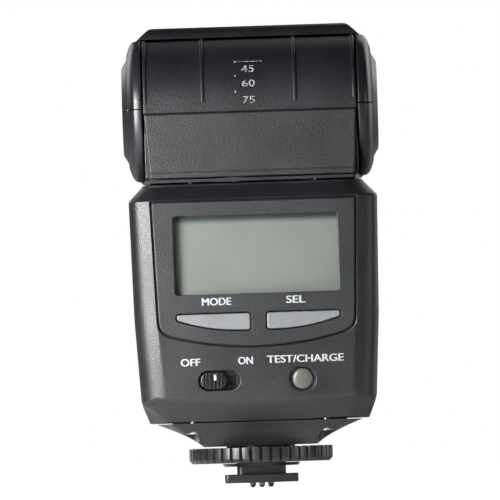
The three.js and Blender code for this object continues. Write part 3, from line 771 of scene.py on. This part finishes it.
def seam_step(grow=0.0):
    """The step between the front cover and the skirt, which keeps light out of their seam."""
    half, rear, front, low, high = SEAM_STEP
    return box((-half - grow, half + grow), (rear - grow, front + grow), (low, high + grow))


def rear_cover():
    rear_half = box((-FAR, FAR), (-FAR, COVER_SPLIT - GAP / 2), (0, 90))
    shell = keep_within(body_shell(), rear_half)
    rim = [(-1, 0.8), (0, 0.75), (0.06, 0.55), (0.2, 0.38), (0.45, GAP), (1, GAP)]
    recess = shaped_prism("y", panel_outline(), [(BODY_REAR + y, grow) for y, grow in rim])
    display_gap = prism("y", rounded_rectangle(*DISPLAY_OPENING, 1), -30, -15)
    slot = opening(rounded_rectangle(*SLOT, SLOT_CORNER), BODY_REAR, -15, 0.3)
    hole = opening(circle(TEST_CENTRE, TEST_RADIUS + GAP, 48), BODY_REAR + 0.4, -15, 0.15)
    dish = opening(circle(TEST_CENTRE, TEST_RADIUS + 0.7, 48), BODY_REAR, BODY_REAR + 0.4, 0.2)
    return cut(shell, recess, display_gap, slot, hole, dish)


def door_outline():
    rear, front, low, high = DOOR
    return rounded_rectangle(rear, front, low, high, 1.5, 6)


def front_cover():
    front_half = box((-FAR, FAR), (COVER_SPLIT + GAP / 2, FAR), (0, 90))
    shell = keep_within(body_shell(), front_half)
    doorway = shaped_prism("x", door_outline(), [(20, GAP), (FAR, GAP)])
    swivel_hole = rod("z", 9, 60, 90)
    window = opening(rounded_rectangle(*ASSIST_OPENING, 1.5), BODY_FRONT, 10, 0.35)
    holes = [rod("z", SCREW_BORE_RADIUS, 10, 20, place, 24) for place in SCREW_PLACES]
    return cut(shell, doorway, swivel_hole, window, seam_step(GAP), *holes)


def base_cover():
    rings = [body_ring(section) for section in blended_sections(SKIRT_SECTIONS, SKIRT_EDGES, 3)]
    hollow = inner_room(SKIRT_SECTIONS, HEAD_WALL, LID_WALL, 1)
    outer = loft(rings)
    bosses = [rod("z", BOSS_RADIUS, 10.5, 15.3, place, 32) for place in SCREW_PLACES]
    bosses[0] = keep_within(join(*bosses), duplicate(outer))
    walls = join(join(cut(outer, hollow), bosses[0]), seam_step())
    pockets = [rod("z", SCREW_POCKET_RADIUS, 5, 14.3, place, 40) for place in SCREW_PLACES]
    shanks = [rod("z", SCREW_BORE_RADIUS, 10, 20, place, 24) for place in SCREW_PLACES]
    return cut(walls, rod("z", POST_RADIUS + GAP, 5, 20), *pockets, *shanks)


def display_panel():
    outline = panel_outline()
    sheet = shaped_prism("y", outline, soft_stations(PANEL_FACE, -21.8, 0.42, 0))
    window = opening(rounded_rectangle(*WINDOW, 0.8), PANEL_FACE, -15, 0.22)
    bars = [opening(offset(bar_outline(side), GAP), PANEL_FACE, -15, 0.16) for side in (-1, 1)]
    return cut(sheet, window, *bars)


def bar_button(side):
    """A bar with a soft edge round its face."""
    low, high = corners("mode_button")
    return shaped_prism("y", bar_outline(side), soft_stations(low.y, high.y, 0.4, 0, 5))


def slide_knob():
    """The knob with upright grip ribs; the light mark on its middle is printed with the lettering."""
    low, high = corners("power_switch_knob")
    cap = rounded_rectangle(low.x, high.x, low.z, high.z, 1.9)
    body = shaped_prism("y", cap, soft_stations(low.y, BODY_REAR + 1.2, 0.35, 0))
    middle = (low.x + high.x) / 2
    grooves = []
    for i in range(-3, 3):
        x = middle + (i + 0.5) * 0.95
        groove = [(x - 0.3, low.y - 1), (x + 0.3, low.y - 1), (x + 0.1, low.y + 0.5),
                  (x - 0.1, low.y + 0.5)]
        grooves.append(prism("z", groove, low.z - 1, high.z + 1))
    centre = (low.z + high.z) / 2
    tongue = box((middle - 1.4, middle + 1.4), (BODY_REAR + 1.1, high.y), (centre - 1, centre + 1))
    return join(cut(body, *grooves), tongue)


def test_button():
    dome = [(0, -0.5), (1.2, -0.48), (1.9, -0.4), (2.35, -0.2), (2.58, 0.05), (TEST_RADIUS, 0.4),
            (TEST_RADIUS, 2.2), (3.9, 2.2), (3.9, 2.8), (0, 2.8)]
    return turned("y", [(r, BODY_REAR + y) for r, y in dome], TEST_CENTRE, 48)


def build_body():
    finished(rear_cover(), "rear_cover", black_shell)
    finished(front_cover(), "front_cover", black_shell)
    finished(base_cover(), "base_cover", black_shell)
    finished(display_panel(), "display_panel", black_panel)
    for side, node in ((-1, "mode_button"), (1, "select_button")):
        finished(bar_button(side), node, silver_button, sharp=50)
    finished(slide_knob(), "power_switch_knob", black_switch)
    finished(test_button(), "test_button", milky_button, sharp=50)
    low, high = corners("assist_window")
    pane = rounded_rectangle(low.x, high.x, low.z, high.z, 1.4)
    shaped = shaped_prism("y", pane, soft_stations(low.y, high.y, 0, 0.3))
    finished(shaped, "assist_window", red_lens)


def battery_door():
    """The door follows the body's side wall; ribs and an arrow near the latch help a thumb."""
    slab = prism("x", door_outline(), 20, FAR)
    wall = keep_within(body_shell(), slab)
    rear, front, low, high = DOOR
    pad = box((26.6, 28.9), (rear + 2, front - 2), (low + 2, high - 2))
    well = opening(rounded_rectangle(-2.2, 4.8, 45.6, 50.4, 0.5), 31.0, 29.6, 0.25, "x")
    arrow = [(1.6, 36.5), (4.1, 40.2), (2.35, 40.2), (2.35, 43), (0.85, 43), (0.85, 40.2),
             (-0.9, 40.2)]
    mark = prism("x", arrow, 30.35, FAR)
    grooves = []
    for i in range(5):
        z = 25.6 + 1.9 * i
        outline = rounded_rectangle(-5.4, 8.6, z, z + 0.9, 0.4)
        grooves.append(prism("x", outline, 29.6 + 0.09 * i, FAR))
    return cut(join(wall, pad), well, mark, *grooves)


def door_latch():
    low, high = corners("battery_door_latch")
    pad = shaped_prism("x", rounded_rectangle(low.y, high.y, low.z, high.z, 0.5),
                       soft_stations(low.x, high.x, 0, 0.2))
    ribs = []
    for i in range(4):
        y = low.y + 0.55 + i * 1.05
        ribs.append(box((high.x - 0.35, high.x + 1), (y, y + 0.5), (low.z + 0.5, high.z - 0.5)))
    return cut(pad, *ribs)


def build_power_supply():
    finished(battery_door(), "battery_door", black_shell)
    finished(door_latch(), "battery_door_latch", black_switch)


# ---- Foot and clamping ring ----


def foot():
    plate = shaped_prism("z", rounded_rectangle(*FOOT_PLATE, 1),
                         soft_stations(0, 2.2, 0.25, 0.25))
    neck = prism("z", rounded_rectangle(*FOOT_NECK, 1.5), 2.1, 5.4)
    post = rod("z", POST_RADIUS, 5.3, 11.4)
    flange = shaped_prism("z", rounded_rectangle(*FOOT_FLANGE, 2),
                          soft_stations(11.3, 13.1, 0.2, 0.2))
    bores = [rod("z", 1.1, -1, 9, place, 32) for place in ((0, 0), (-2.3, 4.6), (2.3, 4.6))]
    return cut(join(plate, neck, post, flange), *bores)


def ring_outline(limit):
    """One level of the knurled ring: rounded pads with a groove between each two."""
    points = []
    steps = 12
    for i in range(RING_TEETH * steps):
        phase = i / steps % 1
        from_groove = min(phase, 1 - phase) * 2
        rise = min(1.0, max(0.0, (from_groove - 0.1) / 0.25))
        swell = 0.1 * (1 - (1 - from_groove) ** 2)
        radius = RING_RADIUS - 0.1 - RING_GROOVE * (1 - math.sin(rise * math.pi / 2)) + swell
        radius = min(radius, limit)
        turn = 2 * math.pi * i / (RING_TEETH * steps)
        points.append((radius * math.cos(turn), radius * math.sin(turn)))
    return points


def lock_ring():
    low, high = corners("lock_ring")
    levels = [(low.z, -0.95), (low.z + 0.1, -0.8), (low.z + 0.85, -0.06), (low.z + 1, 0),
              (high.z - 0.35, 0), (high.z - 0.1, -0.12), (high.z, -0.35)]
    rings = []
    for level, inset in levels:
        rings.append([(x, y, level) for x, y in ring_outline(RING_RADIUS + inset)])
    bore = rod("z", POST_RADIUS + GAP, low.z - 1, high.z + 1)
    recess = rod("z", 13.8, low.z - 1, low.z + 0.3)
    groove = cut(rod("z", 16.2, low.z - 1, low.z + 0.25), rod("z", 15.2, low.z - 2, high.z))
    return cut(loft(rings), bore, recess, groove)


def pressure_plate():
    low, high = corners("pressure_plate")
    radius = high.x
    disc = turned("z", softened([
        (0, low.z), (radius - 0.5, low.z), (radius, high.z - 0.1), (radius, high.z), (0, high.z),
    ], 0.12, 3, closed=False))
    return cut(disc, prism("z", rounded_rectangle(-6.5, 6.5, -6.5, 6.5, 1.5), 0, 10))


def build_foot():
    finished(foot(), "foot", black_ring)
    finished(lock_ring(), "lock_ring", black_ring, sharp=40)
    finished(pressure_plate(), "pressure_plate", black_ring)


# ---- Yoke ----


def drum_outline(inset):
    """Yoke section across the tilt axis."""
    front = 13.5 - inset
    rear = -16.2 + inset
    ledge = PLATE_EDGE + GAP - TILT_HEIGHT + inset
    radius = DRUM_RADIUS - inset
    front_angle = math.degrees(math.acos(front / radius))
    ledge_angle = 180 - math.degrees(math.asin(ledge / radius))
    return [
        (front, YOKE_BOTTOM + inset),
        *arc(TILT_AXIS, radius, -front_angle, ledge_angle, 72),
        (rear, TILT_HEIGHT + ledge),
        (rear, YOKE_BOTTOM + inset),
    ]


def drum_rib(x):
    """A low raised rib round the drum."""
    outer = arc(TILT_AXIS, DRUM_RADIUS + 0.4, 8, 176, 72)
    inner = arc(TILT_AXIS, DRUM_RADIUS - 0.4, 176, 8, 72)
    return shaped_prism("x", outer + inner, soft_stations(x - 0.4, x + 0.4, 0.22, 0.22, 3))


def yoke_drum():
    shell = cut(
        shaped_prism("x", drum_outline(0), soft_stations(-DRUM_HALF, DRUM_HALF, 0.3, 0.3, 3)),
        prism("x", drum_outline(HEAD_WALL), -DRUM_HALF + 1.6, DRUM_HALF - 1.6),
    )
    stubs = [rod("x", TRUNNION_RADIUS, low, high, TILT_AXIS)
             for low, high in ((-29.4, -DRUM_HALF + 1), (DRUM_HALF - 1, 29.4))]
    skids = [box((left, left + 9.8), (-15, 12), (76.2, 78)) for left in (-26, 16.2)]
    lip = box((-25.4, 25.4), (-18.4, -16.6), (76.15, 76.85))
    ribs = [drum_rib(x) for x in RIB_PLACES]
    solid = join(shell, *stubs, *skids, lip, *ribs)
    return cut(solid, rod("x", 3.8, -FAR, FAR, TILT_AXIS), rod("z", 6.4, 70, 85))


def yoke_rear_plate():
    low, high = corners("yoke_rear_plate")
    face = [(-26.8, high.z), (-25.6, low.z), (25.8, low.z), (26.6, high.z)]
    sheet = shaped_prism("y", softened(face, 0.5), soft_stations(low.y, high.y, 0.4, 0))
    groove = [(low.y - 1, low.z + 1.75), (low.y - 1, low.z + 1.05), (low.y + 0.45, low.z + 1.35),
              (low.y + 0.45, low.z + 1.6)]
    return cut(sheet, prism("x", groove, -FAR, FAR))


def build_yoke():
    finished(yoke_drum(), "yoke_drum", black_drum)
    finished(yoke_rear_plate(), "yoke_rear_plate", black_panel)


# ---- Head ----


def raised(points):
    """Head coordinates start at the tilt axis; this lifts an outline to its height."""
    return [(x, z + TILT_HEIGHT) for x, z in points]


def head_section():
    left = [(-x, z) for x, z in reversed(HEAD_RIGHT)]
    return raised(softened(left + HEAD_RIGHT, 0.9, 4))


def side_disc():
    """The disc on the right side, with a soft outer edge and a pocket for the hub cap."""
    profile = softened([
        (0, DISC_INNER), (18, DISC_INNER), (18, 28), (17.7, 29.3), (16.9, 30), (16, 30.4), (14.2, 31),
        (0, 31),
    ], 0.5, 3, closed=False)
    disc = turned("x", profile, TILT_AXIS, 128)
    pocket = rod("x", CAP_RADIUS + GAP, 29.7, 35, TILT_AXIS, 96)
    return cut(disc, pocket, rod("x", TRUNNION_RADIUS + GAP, 20, 40, TILT_AXIS))


def head_shell():
    outer = shaped_prism("y", head_section(), soft_stations(0, SHELL_FRONT, 0.25, 0.25, 2))
    inside = DISC_INNER
    roof = HEAD_TOP - HEAD_WALL
    z = TILT_HEIGHT
    rear_hollow = box((-25, 25), (6, 20), (z - 30, z + roof))
    drum_room = rod("x", DRUM_RADIUS + 0.7, -inside, inside, TILT_AXIS, 128)
    yoke_room = box((-inside, inside), (-25, YOKE_ROOM_FRONT), (z - 30, z))
    side = HEAD_HALF - HEAD_WALL
    floor = HEAD_LOW + HEAD_WALL
    room = prism("y", raised([
        (-24, roof), (-side, 14), (-side, floor), (side, floor), (side, 14), (24, roof),
    ]), YOKE_ROOM_FRONT, 70)
    side_bore = rod("x", CAP_RADIUS + GAP, -FAR, FAR, TILT_AXIS, 96)
    rounding = curve((0, z + 18), (0.2, z + 20.6), (3.2, z + HEAD_TOP), 6)
    brow = [(-1, z + 18), *rounding, (3.2, z + 23), (-1, z + 23)]
    shell = cut(outer, rear_hollow, drum_room, yoke_room, room, side_bore,
                prism("x", brow, -FAR, FAR))
    return join(shell, side_disc(), mirrored(side_disc()))


def hub_cap(side):
    profile = softened([
        (0, 30), (CAP_RADIUS, 30), (CAP_RADIUS, 31), (11, CAP_OUTER), (9.2, CAP_OUTER), (8.9, 32.05),
        (0, 32.05),
    ], 0.35, 4, closed=False)
    cap = turned("x", profile, TILT_AXIS, 96)
    return cap if side > 0 else mirrored(cap)


def lens_frame():
    stations = soft_stations(SHELL_FRONT + GAP, HEAD_FRONT, 0, 0.7)
    frame_solid = shaped_prism("y", head_section(), stations)
    hole = opening(raised(rounded_rectangle(-26.5, 26.5, -13, 17, 2)), HEAD_FRONT, 50, 0.4)
    return cut(frame_solid, hole)


def fresnel_lens():
    """A clear pane with fine upright prism ridges on its front."""
    low, high = corners("fresnel_lens")
    count = 44
    pitch = (high.x - low.x) / count
    outline = [(low.x, low.y), (low.x, high.y - 0.4)]
    for i in range(count):
        outline.append((low.x + (i + 0.5) * pitch, high.y))
        outline.append((low.x + (i + 1) * pitch, high.y - 0.4))
    outline.append((high.x, low.y))
    pane = prism("z", outline, low.z, high.z)
    return keep_within(pane, prism("y", rounded_rectangle(low.x, high.x, low.z, high.z, 1.9), 50, 70))


def reflector():
    """A bright trough, a parabola from above to below."""
    low, high = corners("reflector")
    middle = (low.z + high.z) / 2
    half = (high.z - low.z) / 2
    depth = high.y - low.y
    steps = 16

    def bowl(inset, lift):
        rings = []
        for i in range(steps + 1):
            share = i / steps
            reach = (half - 8) + 8 * math.sqrt(share) - inset
            wide = 23.5 - inset
            rings.append([(x, low.y + lift + depth * share, middle + z)
                          for x, z in rounded_rectangle(-wide, wide, -reach, reach, 1.5)])
        return loft(rings)

    return cut(bowl(0, 0), bowl(0.7, 0.9))


def build_head():
    whole = head_shell()
    upper = box((-FAR, FAR), (-FAR, 80), (TILT_HEIGHT + GAP / 2, TILT_HEIGHT + FAR))
    lower = box((-FAR, FAR), (-FAR, 80), (TILT_HEIGHT - FAR, TILT_HEIGHT - GAP / 2))
    finished(keep_within(duplicate(whole), upper), "head_upper_shell", black_head)
    finished(keep_within(whole, lower), "head_lower_shell", black_head)
    finished(hub_cap(1), "hub_cap_right", black_head)
    finished(hub_cap(-1), "hub_cap_left", black_head)
    finished(lens_frame(), "lens_frame", black_shell)
    finished(fresnel_lens(), "fresnel_lens", clear_lens, sharp=15)
    finished(reflector(), "reflector", bright_metal, sharp=50)


# ---- Lettering ----

INK_THICKNESS = 0.03
INK_LIFT = 0.02
LABEL_HEIGHT = 1.85
LABEL_BOLD = 0.14
MARK_HEIGHT = 1.75


def lettering(name, text, height, centre, wide=1.0, bold=0.0):
    """Plain printed characters, flat at first, centred in the plane; bold widens the strokes."""
    outline = bpy.data.curves.new(name, "FONT")
    outline.body = text
    outline.align_x = "CENTER"
    outline.align_y = "CENTER"
    outline.size = height / 0.7
    outline.extrude = INK_THICKNESS / 2
    outline.resolution_u = 4
    source = new_object(name, outline)
    graph = bpy.context.evaluated_depsgraph_get()
    mesh = bpy.data.meshes.new_from_object(source.evaluated_get(graph))
    bpy.data.objects.remove(source)
    letters = new_object(name, mesh)
    mesh.transform(Matrix.Diagonal((wide, 1, 1, 1)))
    mesh.transform(Matrix.Translation((centre[0] - bold / 2, centre[1], 0)))
    if bold:
        strokes = bmesh.new()
        strokes.from_mesh(mesh)
        mesh.transform(Matrix.Translation((bold, 0, INK_THICKNESS / 10)))
        strokes.from_mesh(mesh)
        strokes.to_mesh(mesh)
        strokes.free()
    return letters


def flat_shape(name, outline):
    """A printed shape as thin as the lettering."""
    shape = prism("z", outline, -INK_THICKNESS / 2, INK_THICKNESS / 2)
    shape.name = name
    return shape


def printed(letters, node, bend, material=ink):
    """Puts flat lettering on a surface: bend says where a flat point goes."""
    for vertex in letters.data.vertices:
        vertex.co = bend(*vertex.co)
    finished(letters, node, material, name=letters.name, replace=False)


def on_plane(face):
    return lambda x, z, out: (x, face - INK_LIFT - out, z)


def on_drum(x, z, out):
    """Wraps onto the drum; z is the height seen from behind."""
    turn = math.asin((z - TILT_HEIGHT) / DRUM_RADIUS)
    radius = DRUM_RADIUS + INK_LIFT + out
    return (x, -radius * math.cos(turn), TILT_HEIGHT + radius * math.sin(turn))


def build_lettering():
    panel = on_plane(PANEL_FACE)
    cover = on_plane(BODY_REAR)
    labels = [
        ("label_mode", "MODE", (-10, 45.7), 1.0, "display_panel", panel),
        ("label_select", "SEL", (9.9, 45.7), 1.26, "display_panel", panel),
        ("label_off", "OFF", (-17, 30.6), 1.08, "rear_cover", cover),
        ("label_on", "ON", (-3.1, 30.7), 0.92, "rear_cover", cover),
        ("label_test", "TEST/CHARGE", (11.9, 30.8), 1.14, "rear_cover", cover),
    ]
    for name, text, centre, wide, node, bend in labels:
        printed(lettering(name, text, LABEL_HEIGHT, centre, wide, LABEL_BOLD), node, bend)
    marks = [
        *[lettering("mark_" + text, text, MARK_HEIGHT, (-0.2, z), 1.4)
          for text, z in (("45", 104.3), ("60", 100.6), ("75", 96.4))],
        *[flat_shape(f"mark_dot_{i + 1}", circle((-3.5, z), 0.24, 20))
          for i, z in enumerate((106.3, 102.6, 98.6))],
        flat_shape("mark_line", [(-3, 106.24), (3.5, 106.24), (3.5, 106.36), (-3, 106.36)]),
    ]
    for mark in marks:
        printed(mark, "yoke_drum", on_drum, worn_ink)
    low, high = corners("power_switch_knob")
    middle = (low.x + high.x) / 2
    bar = rounded_rectangle(middle + 0.1, middle + 0.66, 26, 27.4, 0.15, 3)
    printed(flat_shape("mark_switch", bar), "power_switch_knob", on_plane(low.y))


# ---- CAD nodes that stay ----

KEPT = [
    (steel, "base_screw_1 base_screw_2 base_screw_3 base_screw_4 transformer contact_pin_1 "
            "contact_pin_2 contact_pin_3 swivel_retainer zoom_lead_screw zoom_motor"),
    (black_switch, "mode_switch select_switch test_switch power_switch_body battery_tray "
                   "swivel_base zoom_carriage"),
    (foil, "battery_cell_1 battery_cell_2 battery_cell_3 battery_cell_4 main_capacitor"),
    (board_green, "control_board main_board"),
    (clear_pane, "display_window"),
    (lcd_film, "lcd_module"),
    (milky_button, "charge_lamp"),
    (brass, "door_contact_plate"),
    (red_lens, "assist_lamp"),
    (clear_lens, "flash_tube"),
]


def refine(node, material):
    """Soft edges and smooth round faces on a CAD node, by modifiers only."""
    obj = nodes[node]
    modify(obj, "WELD", merge_threshold=1e-6)
    modify(obj, "DECIMATE", decimate_type="DISSOLVE", angle_limit=math.radians(0.5))
    modify(obj, "BEVEL", width=0.00015, segments=2, limit_method="ANGLE",
           angle_limit=math.radians(40), harden_normals=False)
    modify(obj, "WEIGHTED_NORMAL", keep_sharp=True)
    for polygon in obj.data.polygons:
        polygon.use_smooth = True
    obj.data.materials.clear()
    obj.data.materials.append(material)


# ---- Studio ----

OBJECT_MIDDLE = (0, 0, 0.06)
CAMERA_PLACE = (0, -2.4, 0.006)
CAMERA_TARGET = (-0.00113, -0.009, 0.0588)
CAMERA_ROLL = math.radians(-1.85)
FOCAL_LENGTH = 681.5


def build_floor():
    """A plain pale floor, wide enough for every view; its glow is seen only by the camera."""
    half = 6
    level = cad_bounds[0].z - 0.0001
    mesh = bpy.data.meshes.new("floor")
    rim = [(-half, -half), (half, -half), (half, half), (-half, half)]
    mesh.from_pydata([(x, y, level) for x, y in rim], [], [(0, 1, 2, 3)])
    n = Nodes("pale_floor")
    away = n.node("ShaderNodeVectorMath", {0: n.millimetres}, operation="LENGTH")
    path = n.node("ShaderNodeLightPath")
    glow = n.math("MULTIPLY", path.outputs["Is Camera Ray"],
                  n.remap(away.outputs["Value"], 100, 800, 0.78, 1))
    mesh.materials.append(n.set(base_color=(0.8, 0.8, 0.8), roughness=0.9,
                                emission_color=(1, 1, 1), emission_strength=glow))
    new_object("floor", mesh)


def aim(thing, place, target):
    """Puts a camera or a lamp in its place and turns it to its target."""
    thing.location = place
    thing.rotation_mode = "QUATERNION"
    thing.rotation_quaternion = (Vector(target) - Vector(place)).to_track_quat("-Z", "Y")


def build_camera():
    """Far back with a long lens, as the photograph's flat perspective shows."""
    data = bpy.data.cameras.new("camera")
    data.sensor_width = 36
    data.lens = FOCAL_LENGTH
    data.clip_end = 20
    camera = new_object("camera", data)
    aim(camera, CAMERA_PLACE, CAMERA_TARGET)
    roll = Quaternion((0, 0, 1), CAMERA_ROLL)
    camera.rotation_quaternion = camera.rotation_quaternion @ roll
    bpy.context.scene.camera = camera


def around(azimuth, elevation, distance):
    """A place round the object: azimuth 0 is the camera's side, and it grows to its right."""
    turn, lift = math.radians(azimuth), math.radians(elevation)
    flat = distance * math.cos(lift)
    height = OBJECT_MIDDLE[2] + distance * math.sin(lift)
    return (flat * math.sin(turn), -flat * math.cos(turn), height)


def soft_box(name, place, width, height, power, target=OBJECT_MIDDLE):
    data = bpy.data.lights.new(name, "AREA")
    data.shape = "RECTANGLE"
    data.size = width
    data.size_y = height
    data.energy = power
    aim(new_object(name, data), place, target)


def build_lights():
    soft_box("key", around(-41, 8, 0.22), 0.09, 0.16, 1.3, target=(-0.01, 0, 0.06))
    soft_box("left_wall", around(-32, 16, 1.1), 0.36, 0.36, 1.6)
    soft_box("right_strip", around(64, 6, 1.1), 0.1, 0.25, 1.6)
    soft_box("right_side", around(128, 10, 1.3), 0.6, 0.8, 2.8)
    soft_box("far_right", around(150, 30, 1.5), 1.1, 1.1, 4.5)
    soft_box("far_left", around(-146, 24, 1.4), 0.8, 0.8, 3.5)
    patch = bpy.data.lights.new("floor_patch", "SPOT")
    patch.energy = 45
    patch.spot_size = math.radians(9)
    patch.spot_blend = 0.6
    patch.shadow_soft_size = 0.02
    aim(new_object("floor_patch", patch), (-0.1, -0.75, 0.75), (-0.02, -0.105, 0))


def build_world():
    """A dim, slightly blue room for the object, and white where the camera looks past it."""
    world = bpy.data.worlds.new("studio")
    world.use_nodes = True
    tree = world.node_tree
    room = tree.nodes["Background"]
    room.inputs["Color"].default_value = (0.8, 0.9, 1, 1)
    room.inputs["Strength"].default_value = 0.04
    backdrop = tree.nodes.new("ShaderNodeBackground")
    backdrop.inputs["Color"].default_value = (1, 1, 1, 1)
    path = tree.nodes.new("ShaderNodeLightPath")
    mix = tree.nodes.new("ShaderNodeMixShader")
    tree.links.new(path.outputs["Is Camera Ray"], mix.inputs["Fac"])
    tree.links.new(room.outputs["Background"], mix.inputs[1])
    tree.links.new(backdrop.outputs["Background"], mix.inputs[2])
    tree.links.new(mix.outputs["Shader"], tree.nodes["World Output"].inputs["Surface"])
    bpy.context.scene.world = world
    bpy.context.scene.view_settings.view_transform = "Standard"


build_camera()
build_lights()
build_world()
build_floor()
build_foot()
build_body()
build_power_supply()
build_yoke()
build_head()
build_lettering()
for kept_material, kept_nodes in KEPT:
    for kept_node in kept_nodes.split():
        refine(kept_node, kept_material)
